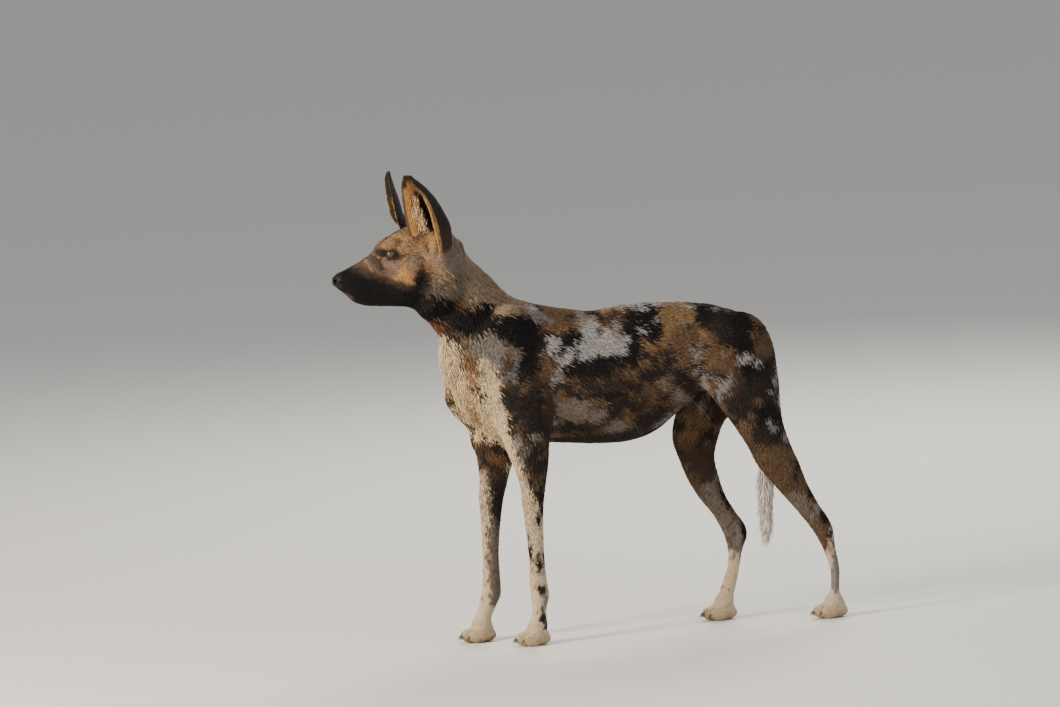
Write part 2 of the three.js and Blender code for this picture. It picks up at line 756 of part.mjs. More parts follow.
function clawGeometry(foot, [ahead, aside]) {
  const positions = [];
  const index = [];
  const root = new THREE.Vector3(foot.x + ahead - 11, foot.y + aside * foot.width, 16);
  const ringAt = (i) => {
    const t = i / CLAW.rings;
    const angle = CLAW.drop * DEGREE * (0.4 + t);
    const centre = new THREE.Vector3(-Math.cos(angle), 0, -Math.sin(angle)).multiplyScalar(CLAW.length * t).add(root);
    return { centre, angle, radius: CLAW.radius * (1 - t ** 1.6) };
  };
  for (let i = 0; i < CLAW.rings; i += 1) {
    const { centre, angle, radius } = ringAt(i);
    for (let k = 0; k < CLAW.sides; k += 1) {
      const a = (k / CLAW.sides) * Math.PI * 2;
      const lift = Math.sin(a) * radius;
      positions.push(centre.x - Math.sin(angle) * lift, centre.y + Math.cos(a) * radius * 0.75);
      positions.push(centre.z + Math.cos(angle) * lift);
    }
  }
  const back = positions.length / 3;
  positions.push(root.x, root.y, root.z);
  const tip = ringAt(CLAW.rings).centre;
  positions.push(tip.x, tip.y, tip.z);
  for (let k = 0; k < CLAW.sides; k += 1) {
    const next = (k + 1) % CLAW.sides;
    for (let i = 0; i < CLAW.rings - 1; i += 1) {
      const [a, b] = [i * CLAW.sides + k, i * CLAW.sides + next];
      index.push(a, a + CLAW.sides, b + CLAW.sides, a, b + CLAW.sides, b);
    }
    const last = (CLAW.rings - 1) * CLAW.sides;
    index.push(back, k, next, last + k, back + 1, last + next);
  }
  const geometry = new THREE.BufferGeometry();
  geometry.setAttribute('position', new THREE.Float32BufferAttribute(positions, 3));
  geometry.setIndex(index);
  return geometry;
}

// Building the nodes

function buildHead() {
  const solid = sample(core, headPlan).intersect(ahead(HEAD_CUT));
  const sockets = [LEFT, RIGHT].map((side) => toSolid(eyeGeometry(side, GAP)));
  addSolid('head', solid.subtract(sockets[0]).subtract(sockets[1]), 'coat_head');
  const grown = sample(core, headPlan, GAP);
  const grownNeck = sample(core, neckPlan, GAP);
  for (const [name, side] of [['left', LEFT], ['right', RIGHT]]) {
    add(`eye_${name}`, eyeGeometry(side, 0), 'eye');
    addSolid(`ear_${name}`, earSolid(side).subtract(grown).subtract(grownNeck), 'coat_ear');
  }
}

function buildNeck() {
  const solid = sample(core, neckPlan);
  addSolid('neck', solid.intersect(behind(HEAD_CUT)).intersect(ahead(NECK_CUT)), 'coat_neck');
}

function buildTrunk() {
  let solid = sample(trunkForm, trunkPlan).intersect(behind(NECK_CUT));
  for (const name of Object.keys(LEGS)) solid = solid.subtract(legSpace(name, GAP));
  addSolid('trunk', solid.subtract(sideOn(TAIL_OUTLINE, -TAIL_HALF, TAIL_HALF, GAP)), 'coat_trunk');
}

function buildTail() {
  const whole = sample(tailForm, tailPlan).intersect(sideOn(TAIL_OUTLINE, -TAIL_HALF, TAIL_HALF, 0));
  addSolid('tail_base', whole.intersect(behind(TAIL_SPLIT)), 'coat_trunk');
  addSolid('tail_brush', whole.intersect(ahead(TAIL_SPLIT)), 'coat_tail');
  return sample(tailForm, tailPlan, GAP).intersect(sideOn(TAIL_OUTLINE, -TAIL_HALF, TAIL_HALF, GAP));
}

/** The levels of the rings in each length of a leg, which reach a little past the cuts between them. */
const LEG_RINGS = {
  front: { upper: [330, 560, 8], lower: [80, 430, 10], foot: [140, 3] },
  hind: { upper: [330, 640, 10], lower: [120, 500, 12], foot: [275, 6] },
};
const LEG_RAYS = { upper: 18, lower: 14, foot: 18 };

function buildLeg(name, tailSpace) {
  const leg = LEGS[name];
  const rings = LEG_RINGS[name.includes('hind') ? 'hind' : 'front'];
  const form = withLimb(leg.masses);
  const [upperSplit, lowerSplit] = LEG_SPLITS[name];
  const space = legSpace(name, 0);
  const upperPlan = legPlan(leg, ...rings.upper, LEG_RAYS.upper);
  const lowerPlan = legPlan(leg, ...rings.lower, LEG_RAYS.lower);
  const feet = footPlan(leg, ...rings.foot, LEG_RAYS.foot);
  const upper = sample(form, upperPlan).intersect(space).subtract(tailSpace);
  const lower = sample(form, lowerPlan).intersect(space).subtract(tailSpace);
  addSolid(`${name}_upper`, upper.intersect(behind(upperSplit)), 'coat_leg');
  addSolid(`${name}_lower`, lower.intersect(ahead(upperSplit)).intersect(behind(lowerSplit)), 'coat_leg');
  addSolid(`${name}_foot`, sample(form, feet).intersect(ahead(lowerSplit)), 'coat_leg');
  const grown = sample(form, feet, GAP);
  TOES.forEach((toe, i) => {
    addSolid(`claw_${name.slice(4)}_${i + 1}`, toSolid(clawGeometry(leg.foot, toe)).subtract(grown), 'claw');
  });
}

buildHead();
buildNeck();
buildTrunk();
const tailSpace = buildTail();
for (const name of Object.keys(LEGS)) buildLeg(name, tailSpace);

// The origin is the middle of the bounding box, at the floor
const middle = new THREE.Box3().setFromObject(dog).getCenter(new THREE.Vector3());
for (const mesh of dog.children) mesh.geometry.translate(-middle.x, -middle.y, 0);

export default dog;
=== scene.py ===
"""African wild dog, standing: its skin, coat, eyes and claws, with floor, light and camera.

The body is the same smooth union of lofts and ellipsoids that the solids come from, in millimetres: the nose
towards -X, the left side towards -Y and the paws on Z = 0. Each mass is drawn in by the depth of the coat that
lies over it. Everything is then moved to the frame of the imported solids, in metres.
"""
import math
from collections import namedtuple

import bmesh
import bpy
import numpy as np
from mathutils import Matrix, Vector


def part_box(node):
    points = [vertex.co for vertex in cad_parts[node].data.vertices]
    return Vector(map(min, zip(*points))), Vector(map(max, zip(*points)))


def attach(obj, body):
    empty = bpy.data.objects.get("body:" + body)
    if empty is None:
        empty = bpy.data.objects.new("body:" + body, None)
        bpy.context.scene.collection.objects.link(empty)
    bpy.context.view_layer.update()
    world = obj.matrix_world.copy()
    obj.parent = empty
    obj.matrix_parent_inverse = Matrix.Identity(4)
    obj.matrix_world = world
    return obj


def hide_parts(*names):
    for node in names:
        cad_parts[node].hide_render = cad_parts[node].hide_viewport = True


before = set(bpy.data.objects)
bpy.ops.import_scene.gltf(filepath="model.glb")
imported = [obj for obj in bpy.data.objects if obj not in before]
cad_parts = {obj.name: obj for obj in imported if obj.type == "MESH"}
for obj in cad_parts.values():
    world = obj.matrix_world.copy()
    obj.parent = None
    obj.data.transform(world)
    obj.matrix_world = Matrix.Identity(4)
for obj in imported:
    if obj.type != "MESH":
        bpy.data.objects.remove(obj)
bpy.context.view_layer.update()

# Driving sizes, in the body's millimetres
EYE = (-246.0, 32.5, 817.0)
EYE_RADIUS = 11.0
EAR_SKIN = 3.4
FAR_AWAY = 60.0
MM = 0.001
LEFT, RIGHT = -1, 1
SIDE_NAMES = {LEFT: "left", RIGHT: "right"}


# Small helpers

def eye_centre(side):
    return np.array([EYE[0], side * EYE[1], EYE[2]])


# The body's origin in the frame: the left eye is where the solids have it, and both stand on the floor
low, high = (np.array(corner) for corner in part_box("eye_left"))
SHIFT = (low + high) / 2 - eye_centre(LEFT) * MM
SHIFT[2] = 0.0


def to_frame(points):
    """Body millimetres to metres in the frame of the solids."""
    return np.asarray(points) * MM + SHIFT


def unit(vector):
    vector = np.asarray(vector, float)
    return vector / np.linalg.norm(vector)


def normalised(vectors):
    """Rows of vectors, each at length 1."""
    return vectors / np.maximum(np.linalg.norm(vectors, axis=1), 1e-9)[:, None]


def mirrored(points, side):
    """Points as they are for the right side, and mirrored for the left."""
    return points * np.array([1, side, 1])


def ramp(value, start, end):
    """A smooth step from 0 at start to 1 at end."""
    t = np.clip((value - start) / (end - start), 0, 1)
    return t * t * (3 - 2 * t)


def lay(under, weight, over):
    """Colours or directions with others laid over them, as strongly as the weight from 0 to 1."""
    return under * (1 - weight[:, None]) + np.asarray(over) * weight[:, None]


def layered(colour, *layers):
    """Colours or directions with layers over them in turn, each with its weight."""
    for weight, over in layers:
        colour = lay(colour, weight, over)
    return colour


def smooth_min(a, b, width):
    h = np.maximum(width - np.abs(a - b), 0) / width
    return np.minimum(a, b) - h * h * width * 0.25


def smooth_rows(rows, count=200):
    """A dense table of rows of numbers, led by a place along the axis, with smooth curves between them."""
    rows = np.array(rows, float)
    place, values = rows[:, 0], rows[:, 1:]
    span = np.diff(place)[:, None]
    slope = np.diff(values, axis=0) / span
    tangent = np.empty_like(values)
    tangent[0], tangent[-1] = slope[0], slope[-1]
    tangent[1:-1] = (slope[:-1] * span[:-1] + slope[1:] * span[1:]) / (span[:-1] + span[1:])
    at = np.linspace(place[0], place[-1], count)
    i = np.clip(np.searchsorted(place, at, side="right") - 1, 0, len(place) - 2)
    t = ((at - place[i]) / (place[i + 1] - place[i]))[:, None]
    a = (1 + 2 * t) * (1 - t) ** 2
    b = t * (1 - t) ** 2 * span[i]
    c = t * t * (3 - 2 * t)
    d = t * t * (t - 1) * span[i]
    return at, a * values[i] + b * tangent[i] + c * values[i + 1] + d * tangent[i + 1]


# Form: masses and their smooth union

Mass = namedtuple("Mass", "form blend coat")
# What a section of a loft has for side, egg and power where it leaves them out, after its four first numbers
SECTION_DEFAULTS = (0.0, 0.0, 2.0)
SECTION_GIVEN = 4
# The least half size of a section, and the ratio below which a point counts as the centre of a form
LEAST_HALF = 0.5
CENTRE_RATIO = 1e-3


def as_distance(ratio, reach, radius):
    """A ratio that is 1 on a form's surface, as millimetres from it. The radius is for its very centre."""
    scale = np.where(ratio < CENTRE_RATIO, radius, reach / np.maximum(ratio, CENTRE_RATIO))
    return scale * (ratio - 1)


class Loft:
    """A loft on a straight axis. Each section is (place, plus, minus, half width, side, egg, power)."""

    def __init__(self, origin, axis, up, sections, cap):
        self.origin = np.array(origin, float)
        self.along = unit(axis)
        up = np.array(up, float)
        self.up = unit(up - self.along * (up @ self.along))
        self.across = np.cross(self.up, self.along)
        self.cap = cap
        rows = [tuple(row) + SECTION_DEFAULTS[len(row) - SECTION_GIVEN:] for row in sections]
        self.at, self.table = smooth_rows(rows)
        plus, minus, half, side = self.table.T[:4]
        edges = [self.origin + np.outer(self.at, self.along) + np.outer(v, self.up) + np.outer(u, self.across)
                 for v in (plus, minus) for u in (side - half, side + half)]
        corners = np.concatenate(edges)
        self.low = corners.min(0) - FAR_AWAY
        self.high = corners.max(0) + FAR_AWAY

    def __call__(self, points):
        q = points - self.origin
        s, v, u = q @ self.along, q @ self.up, q @ self.across
        held = np.clip(s, self.at[0], self.at[-1])
        plus, minus, half, side, egg, power = (np.interp(held, self.at, column) for column in self.table.T)
        deep = np.maximum((plus - minus) / 2, LEAST_HALF)
        v = v - (plus + minus) / 2
        u = u - side
        wide = np.maximum(half * (1 + egg * np.clip(v / deep, -1, 1)), LEAST_HALF)
        over = s - held
        flat = (np.abs(v / deep) ** power + np.abs(u / wide) ** power) ** (1 / power)
        reach = np.sqrt(v * v + u * u + over * over)
        return as_distance(np.hypot(flat, over / self.cap), reach, np.minimum(deep, wide))


class Ball:
    """An ellipsoid turned by pitch, which lowers its +X end, and then by yaw about Z, in degrees."""

    def __init__(self, centre, radii, pitch=0.0, yaw=0.0):
        self.centre = np.array(centre, float)
        self.radii = np.array(radii, float)
        turn = Matrix.Rotation(math.radians(yaw), 3, "Z") @ Matrix.Rotation(math.radians(pitch), 3, "Y")
        self.turn = np.array(turn)
        reach = self.radii.max() + FAR_AWAY
        self.low, self.high = self.centre - reach, self.centre + reach

    def __call__(self, points):
        q = (points - self.centre) @ self.turn
        ratio = np.sqrt(((q / self.radii) ** 2).sum(1))
        return as_distance(ratio, np.sqrt((q * q).sum(1)), self.radii.min())


def along_x(sections, cap):
    """Upright sections across X: (x, top, bottom, half width, side, egg, power)."""
    return Loft((0, 0, 0), (1, 0, 0), (0, 0, 1), sections, cap)


def along_z(sections, cap):
    """Level sections: (z, front, back, half width, side), where front and back are places along X."""
    rows = [(z, -front, -back, *rest) for z, front, back, *rest in sections]
    return Loft((0, 0, 0), (0, 0, 1), (-1, 0, 0), rows, cap)


# Masses: the form, how widely it blends, and the depth of the coat over it

COAT = {
    "trunk": 5.0,
    "neck": 9.0,
    "head": 2.5,
    "muzzle": 1.2,
    "cheek": 4.0,
    "leg": 3.0,
    "thigh": 4.5,
    "paw": 1.2,
    "brush": 9.0,
}

TRUNK = [
    Mass(along_x([
        (-126, 640, 548, 44),
        (-88, 672, 455, 66),
        (-40, 688, 412, 77, 0, 0.08),
        (37, 694, 403, 81, 0, 0.06),
        (100, 681, 396, 84, 0, 0.04),
        (168, 669, 389, 86),
        (232, 675, 389, 82),
        (285, 676, 404, 74),
        (335, 673, 438, 68),
        (385, 668, 474, 66),
        (435, 657, 488, 64),
        (478, 633, 505, 55),
        (503, 606, 525, 42),
    ], 22), 30, COAT["trunk"]),
    Mass(Ball((-84, 0, 556), (56, 50, 96), -13), 30, COAT["trunk"]),
]

NECK_AXIS = unit((145, 0, -190))
NECK = [
    Mass(Loft((-170, 0, 775), NECK_AXIS, (0.8, 0, 0.6), [
        (-25, 82, -66, 50),
        (30, 92, -78, 56),
        (80, 96, -72, 60),
        (130, 99, -73, 65),
        (180, 107, -86, 70),
        (235, 112, -96, 72),
    ], 40), 34, COAT["neck"]),
]

HEAD = [
    Mass(along_x([
        (-288, 811, 742, 27),
        (-268, 833, 732, 38),
        (-245, 850, 724, 46, 0, -0.08),
        (-215, 865, 716, 53, 0, -0.05),
        (-180, 875, 710, 57),
        (-150, 872, 714, 57),
        (-120, 856, 738, 49),
        (-104, 838, 762, 37),
    ], 14), 20, COAT["head"]),
    Mass(along_x([
        (-360, 779, 757, 10),
        (-352, 785, 750, 17),
        (-338, 790, 738, 23.5, 0, 0, 2.2),
        (-322, 797, 722, 28, 0, 0, 2.3),
        (-300, 806, 713, 31, 0, 0, 2.3),
        (-278, 811, 710, 35, 0, 0, 2.2),
        (-255, 816, 708, 41),
        (-225, 822, 706, 49),
        (-198, 822, 708, 48),
        (-176, 820, 717, 42),
        (-158, 812, 732, 34),
    ], 5), 16, COAT["muzzle"]),
]


def cheek(side):
    return [
        Mass(Ball((-198, side * 44, 768), (50, 27, 44), -18, side * 8), 24, COAT["cheek"]),
        Mass(Ball((-226, side * 44, 796), (34, 12, 13), -12, side * 26), 16, COAT["head"]),
        Mass(Ball((-248, side * 27, 834), (22, 12, 10), -28, side * 20), 16, COAT["head"]),
        Mass(Ball((-150, side * 44, 748), (40, 26, 58), 20), 26, COAT["neck"]),
        Mass(Ball((-152, side * 50, 822), (32, 21, 38), 12, side * 20), 18, COAT["cheek"]),
    ]


def shoulder(side, shift):
    return [
        Mass(Ball((-38 + shift, side * 54, 596), (48, 29, 104), 27), 34, COAT["trunk"]),
        Mass(Ball((-32 + shift, side * 67, 478), (74, 25, 42), 39), 30, COAT["trunk"]),
        Mass(Ball((20 + shift, side * 66, 492), (38, 24, 76), -8), 30, COAT["trunk"]),
    ]


def haunch(side, shift):
    return [Mass(Ball((452 + shift, side * 45, 548), (78, 33, 98), 12), 34, COAT["trunk"])]


CORE = TRUNK + NECK + HEAD + cheek(LEFT) + cheek(RIGHT)

# A paw's toes: how far each is ahead of the foot's middle and to its side, and their common size
TOES = ((-13, -20), (-25, -7.5), (-25, 7.5), (-13, 20))
TOE_RISE, TOE_LENGTH, TOE_WIDTH, TOE_HEIGHT = 13, 19, 8.4, 15
KNUCKLE_BEHIND, KNUCKLE_RISE = 11, 22
TOE_BLEND, KNUCKLE_BLEND = 3.5, 5


def paw(x, y, width):
    """Four toes, the two middle ones ahead, round a broad pad."""
    masses = [
        Mass(Ball((x + 4, y, 13), (26, 23 * width, 16)), 9, COAT["paw"]),
        Mass(Ball((x + 2, y, 30), (22, 18 * width, 20), 25), 12, COAT["paw"]),
    ]
    for ahead, aside in TOES:
        toe = Ball((x + ahead, y + aside * width, TOE_RISE), (TOE_LENGTH, TOE_WIDTH * width, TOE_HEIGHT), 8)
        back, inward = x + ahead + KNUCKLE_BEHIND, y + aside * width * 0.9
        knuckle = Ball((back, inward, KNUCKLE_RISE), (13, 8 * width, 10), 30)
        masses += [Mass(toe, TOE_BLEND, COAT["paw"]), Mass(knuckle, KNUCKLE_BLEND, COAT["paw"])]
    return masses


LEG_CAP, LEG_BLEND = 18, 26
# The middle of each foot and its width, and each leg's sections from the ankle up
FEET = {
    "front_left": (0, -62, 1.0),
    "front_right": (-86, 60, 1.0),
    "hind_left": (628, -60, 0.92),
    "hind_right": (424, 58, 0.92),
}
LEG_SECTIONS = {
    "front_left": [
        (46, -14, 26, 19, -62),
        (72, -8, 27, 16, -62),
        (99, -9, 34, 18, -62),
        (131, -10, 31, 18.5, -62.5),
        (172, -8, 29, 16, -63),
        (213, -10, 29, 16.5, -64),
        (254, -13, 30, 18, -65),
        (295, -16, 34, 20, -66),
        (336, -20, 41, 22, -68),
        (371, -31, 47, 25, -70),
        (413, -46, 50, 28, -72),
        (460, -52, 48, 27, -68),
        (505, -44, 40, 20, -58),
    ],
    "front_right": [
        (40, -106, -66, 19, 60),
        (66, -94, -53, 17, 60),
        (94, -85, -39, 18, 60),
        (125, -80, -38, 18.5, 60),
        (166, -77, -38, 16, 61),
        (206, -76, -35, 16.5, 62),
        (247, -76, -29, 18, 63),
        (288, -76, -21, 20, 64),
        (335, -72, -6, 23, 66),
        (380, -75, 10, 26, 68),
        (411, -84, 15, 28, 70),
        (460, -84, 14, 27, 68),
        (505, -76, 6, 20, 58),
    ],
    "hind_left": [
        (40, 619, 645, 15, -60),
        (68, 621, 647, 13.5, -60),
        (100, 621, 649, 13, -60),
        (144, 608, 643, 14, -60),
        (170, 596, 641, 15, -60),
        (189, 585, 638, 15, -60),
        (211, 570, 628, 16, -60),
        (234, 552, 613, 18, -62),
        (280, 515, 590, 22, -64),
        (325, 481, 574, 25, -66),
        (371, 459, 556, 28, -66),
        (416, 433, 545, 31, -64),
        (460, 406, 543, 33, -60),
        (505, 398, 543, 33, -54),
        (560, 402, 530, 27, -46),
        (600, 420, 505, 18, -40),
    ],
    "hind_right": [
        (46, 410, 452, 16, 58),
        (80, 424, 462, 14.5, 58),
        (109, 435, 469, 13.5, 58),
        (139, 438, 476, 14, 58),
        (168, 433, 487, 15.5, 58),
        (190, 425, 485, 16, 58),
        (221, 409, 466, 17, 59),
        (254, 385, 448, 20, 60),
        (295, 363, 436, 24, 62),
        (338, 348, 430, 28, 64),
        (378, 337, 441, 30, 64),
        (412, 340, 458, 32, 62),
        (450, 352, 500, 33, 58),
        (505, 376, 530, 32, 54),
        (560, 396, 522, 27, 46),
        (600, 415, 500, 18, 40),
    ],
}
MUSCLES = {
    "front_left": shoulder(LEFT, 0),
    "front_right": shoulder(RIGHT, -34),
    "hind_left": haunch(LEFT, 6),
    "hind_right": haunch(RIGHT, -6),
}
TAIL = [
    Mass(along_z([
        (172, 504, 514, 6),
        (185, 499, 521, 11),
        (205, 496, 526, 15),
        (268, 495, 533, 18),
        (335, 500, 545, 20),
        (400, 512, 553, 19),
        (470, 520, 557, 18),
        (520, 517, 553, 18),
        (560, 500, 540, 20),
        (600, 472, 513, 22),
    ], 8), 24, COAT["brush"]),
]


def limb_masses():
    """The masses of each leg, and of the tail, which blend into the trunk but never into each other."""
    limbs = []
    for name, sections in LEG_SECTIONS.items():
        coat = COAT["thigh"] if "hind" in name else COAT["leg"]
        limbs.append(MUSCLES[name] + [Mass(along_z(sections, LEG_CAP), LEG_BLEND, coat)] + paw(*FEET[name]))
    return limbs + [TAIL]


LIMBS = limb_masses()
# How many of each limb's masses are muscles of the trunk
MUSCLE_COUNTS = [len(masses) for masses in MUSCLES.values()] + [0]
FRONT_LEGS, HIND_LEGS, TAIL_LIMB = (0, 1), (2, 3), 4


def blend_in(value, masses, points):
    """The smooth union of a value that is already known with more masses, drawn in by their coats."""
    value = value.copy()
    for form, width, coat in masses:
        near = np.all((points >= form.low) & (points <= form.high), axis=1)
        if near.any():
            value[near] = smooth_min(value[near], form(points[near]) + coat, width)
    return value


# Ears: a cupped sheet, given up the ear by its inner edge, its back and its outer edge, for the right side

EAR_ROWS = [
    (804, -184, 40, -138, 52, -152, 70),
    (833, -198, 33, -128, 50, -158, 81),
    (866, -207, 31, -127, 46, -165, 87),
    (896, -212, 31, -139, 44, -171, 88),
    (920, -215, 35, -152, 47, -179, 88),
    (942, -217, 41, -169, 53, -189, 85),
    (959, -217, 48, -185, 58, -200, 81),
    (970, -216, 55, -198, 62, -206, 76),
    (977, -214, 61, -205, 65, -209, 71),
]
EAR_AT, EAR_TABLE = smooth_rows(EAR_ROWS)
EAR_FOOT, EAR_TIP = 806.0, 974.5
EAR_STEPS = 28
# The box that one ear lies in, the hollow at its foot, and how widely hollow and sheet blend into the head
EAR_LOW = np.array([-240.0, 0.0, EAR_FOOT - 20])
EAR_HIGH = np.array([-95.0, 122.0, EAR_TIP + 20])
EAR_HOLLOW = Ball((-176, 66, 846), (15, 15, 30))
HOLLOW_BLEND, EAR_BLEND = 8, 6
# The far ear faces forward, flatter than the near one: its turn, its place ahead and the depth of its cup
EarPose = namedtuple("EarPose", "turn ahead depth")
EAR_POSES = {LEFT: EarPose(0.0, 0.0, 1.0), RIGHT: EarPose(math.radians(30), 5.0, 0.38)}
EAR_POSE_FROM, EAR_POSE_FULL = 812.0, 890.0


def ear_curve(z, t, side):
    """Points of the sheet at each level z: t runs from the inner edge round the back to the outer edge."""
    ix, iy, bx, by, ox, oy = (np.interp(z, EAR_AT, column) for column in EAR_TABLE.T)
    px, py = 2 * bx - (ix + ox) / 2, 2 * by - (iy + oy) / 2
    a, b, c = (1 - t) ** 2, 2 * t * (1 - t), t * t
    dx, dy = a * ix + b * px + c * ox - ix, a * iy + b * py + c * oy - iy
    pose = EAR_POSES[side]
    share = ramp(z, EAR_POSE_FROM, EAR_POSE_FULL)
    cos, sin = np.cos(pose.turn * share), np.sin(pose.turn * share)
    back = (dx * cos - dy * sin) * (1 + (pose.depth - 1) * share)
    return ix + back - pose.ahead * share, iy + dx * sin + dy * cos


def ear_place(points, side):
    """How far points lie from the sheet of one ear, and the nearest t across it."""
    z = np.clip(points[:, 2], EAR_FOOT, EAR_TIP)
    x, y = points[:, 0], points[:, 1] * side
    best = np.full(len(points), 1e9)
    best_t = np.zeros(len(points))
    ax, ay = ear_curve(z, 0.0, side)
    for k in range(EAR_STEPS):
        bx, by = ear_curve(z, (k + 1) / EAR_STEPS, side)
        dx, dy = bx - ax, by - ay
        share = np.clip(((x - ax) * dx + (y - ay) * dy) / np.maximum(dx * dx + dy * dy, 1e-6), 0, 1)
        square = (x - ax - share * dx) ** 2 + (y - ay - share * dy) ** 2
        closer = square < best
        best = np.where(closer, square, best)
        best_t = np.where(closer, (k + share) / EAR_STEPS, best_t)
        ax, ay = bx, by
    return np.sqrt(best + (points[:, 2] - z) ** 2), best_t


def ear_box(points, side):
    place = mirrored(points, side)
    return np.all((place >= EAR_LOW) & (place <= EAR_HIGH), axis=1)


# The face: sockets, nostrils and the line of the mouth, cut into the form

GAZE = unit((-0.42, 0.9, 0.1))
EYE_SLANT = math.radians(14)
LID_RADIUS, LID_BLEND = 13.0, 5
# The opening between the lids: its half width and its height above, and how its two edges curve
APERTURE = (10.0, 7.2)
LOWER_LID = 0.85
LID_ROUNDNESS = (0.62, 0.8)
# Each nostril and the slit behind it, for the right side: centre, radii, pitch and yaw
NOSTRIL_CUTS = (
    ((-361, 8, 768), (9, 4.2, 5.2), -10, -30),
    ((-352, 17, 763), (8, 4, 2.4), -25, -20),
)
# The line between the lips as x and z, and how far from the middle the groove starts as x and y
MOUTH_ROWS = [(-366, 746), (-350, 744), (-335, 741), (-315, 739), (-295, 737), (-275, 736), (-258, 741)]
LIP_ROWS = [(-362, 2), (-340, 17), (-300, 26), (-262, 33)]
MOUTH_CORNER, MOUTH_FADE = -262, 12
MOUTH_OPEN = 1.1
FACE_BEHIND, FACE_BELOW = -150, 690


def eye_axes(side):
    """The gaze, the line from the outer to the inner corner, and the line up, for one eye."""
    gaze = mirrored(GAZE, side)
    level = unit(np.cross(gaze, (0, 0, 1)) * -side)
    up = np.cross(gaze, level) * -side
    if up[2] < 0:
        up = -up
    level = unit(level * math.cos(EYE_SLANT) - up * math.sin(EYE_SLANT))
    up = unit(up - up @ level * level)
    return gaze, level, up


def almond(u, v):
    """Less than 0 inside the opening between the lids, in millimetres on the eyeball."""
    width, height = APERTURE
    room = np.clip(1 - (u / width) ** 2, 0, 1)
    upper = height * room ** LID_ROUNDNESS[0]
    lower = height * LOWER_LID * room ** LID_ROUNDNESS[1]
    return np.maximum(np.where(v > 0, v - upper, -v - lower), np.abs(u) - width)


def mouth(points):
    """Less than 0 in a shallow groove between the lips, on both sides."""
    x, y, z = points.T
    line = np.interp(x, *np.array(MOUTH_ROWS, float).T)
    open_here = MOUTH_OPEN * np.clip((MOUTH_CORNER - x) / MOUTH_FADE, 0, 1)
    inner = np.interp(x, *np.array(LIP_ROWS, float).T)
    return np.maximum(np.abs(z - line) - open_here, inner - np.abs(y))


def carve(value, points):
    """Nostrils, mouth and eye sockets cut from the form of the head."""
    near = (points[:, 0] < FACE_BEHIND) & (points[:, 2] > FACE_BELOW)
    p, form = points[near], value[near]
    for side in (LEFT, RIGHT):
        for (x, y, z), radii, pitch, yaw in NOSTRIL_CUTS:
            form = np.maximum(form, -Ball((x, side * y, z), radii, pitch, side * yaw)(p))
        lids = Ball(eye_centre(side), (LID_RADIUS,) * 3)
        form = smooth_min(form, lids(p), LID_BLEND)
        gaze, level, up = eye_axes(side)
        q = p - eye_centre(side)
        scale = EYE_RADIUS / np.maximum(np.sqrt((q * q).sum(1)), 1)
        opening = almond(q @ level * scale, q @ up * scale)
        form = np.maximum(form, -np.maximum(opening, -(q @ gaze)))
    value[near] = np.maximum(form, -mouth(p))
    return value


def skin_form(points):
    """The skin: the whole body drawn in by its coat, with ears and face. Less than 0 inside."""
    start = np.full(len(points), FAR_AWAY)
    core = blend_in(start, CORE, points)
    for side in (LEFT, RIGHT):
        near = ear_box(points, side)
        if near.any():
            distance, _ = ear_place(points[near], side)
            hollow = EAR_HOLLOW(mirrored(points[near], side))
            head = -smooth_min(-core[near], hollow, HOLLOW_BLEND)
            core[near] = smooth_min(head, distance - EAR_SKIN / 2, EAR_BLEND)
    whole = core.copy()
    for masses in LIMBS:
        whole = np.minimum(whole, blend_in(core, masses, points))
    whole = carve(whole, points)
    return np.maximum(whole, -points[:, 2])


# Meshing the form on a grid that is finer round the head and paws: where each step starts, and the step

GRID_X = ((-380, 1.9), (-110, 3.9), (672, 0))
GRID_Y = ((-106, 2.7), (118, 0))
GRID_Z = ((-6, 2.3), (40, 4.0), (700, 2.0), (985, 0))
COARSE = 4
NEAR_SURFACE = 26
BATCH = 400000
# The cells round an edge of the grid, as steps across it, and the same in order round the edge
EDGE_CELLS = ((0, 0), (0, -1), (-1, 0), (-1, -1))
ROUND_EDGE = ((-1, -1), (0, -1), (0, 0), (-1, 0))


def grid_places(zones):
    """Places along an axis, with a step of its own from each zone's start."""
    places = []
    for (start, step), (end, _) in zip(zones, zones[1:]):
        count = max(round((end - start) / step), 1)
        places.append(np.linspace(start, end, count, endpoint=False))
    return np.append(np.concatenate(places), zones[-1][0])


def evaluate(points):
    return np.concatenate([skin_form(points[i:i + BATCH]) for i in range(0, len(points), BATCH)])


def sampled_grid(axes):
    """The form at the grid's nodes: exact near the surface, and only its sign elsewhere."""
    coarse_axes = [axis[::COARSE] for axis in axes]
    coarse = np.stack(np.meshgrid(*coarse_axes, indexing="ij"), -1).reshape(-1, 3)
    rough = evaluate(coarse).reshape([len(axis) for axis in coarse_axes])
    near = np.abs(rough) < NEAR_SURFACE
    for axis in range(3):
        near = near | np.roll(near, -1, axis) | np.roll(near, 1, axis)
    shape = [len(axis) for axis in axes]
    widen = np.ones((COARSE,) * 3, bool)
    near = np.kron(near, widen)[:shape[0], :shape[1], :shape[2]]
    inside = np.kron(rough < 0, widen)[:shape[0], :shape[1], :shape[2]]
    grid = np.where(inside, -FAR_AWAY, FAR_AWAY)
    index = np.argwhere(near)
    points = np.stack([axes[k][index[:, k]] for k in range(3)], 1)
    grid[tuple(index.T)] = evaluate(points)
    return grid


def cells_beside(index, one, two, steps):
    """The cells at some steps along two axes from each index."""
    for d1, d2 in steps:
        cell = index.copy()
        cell[:, one] += d1
        cell[:, two] += d2
        yield cell


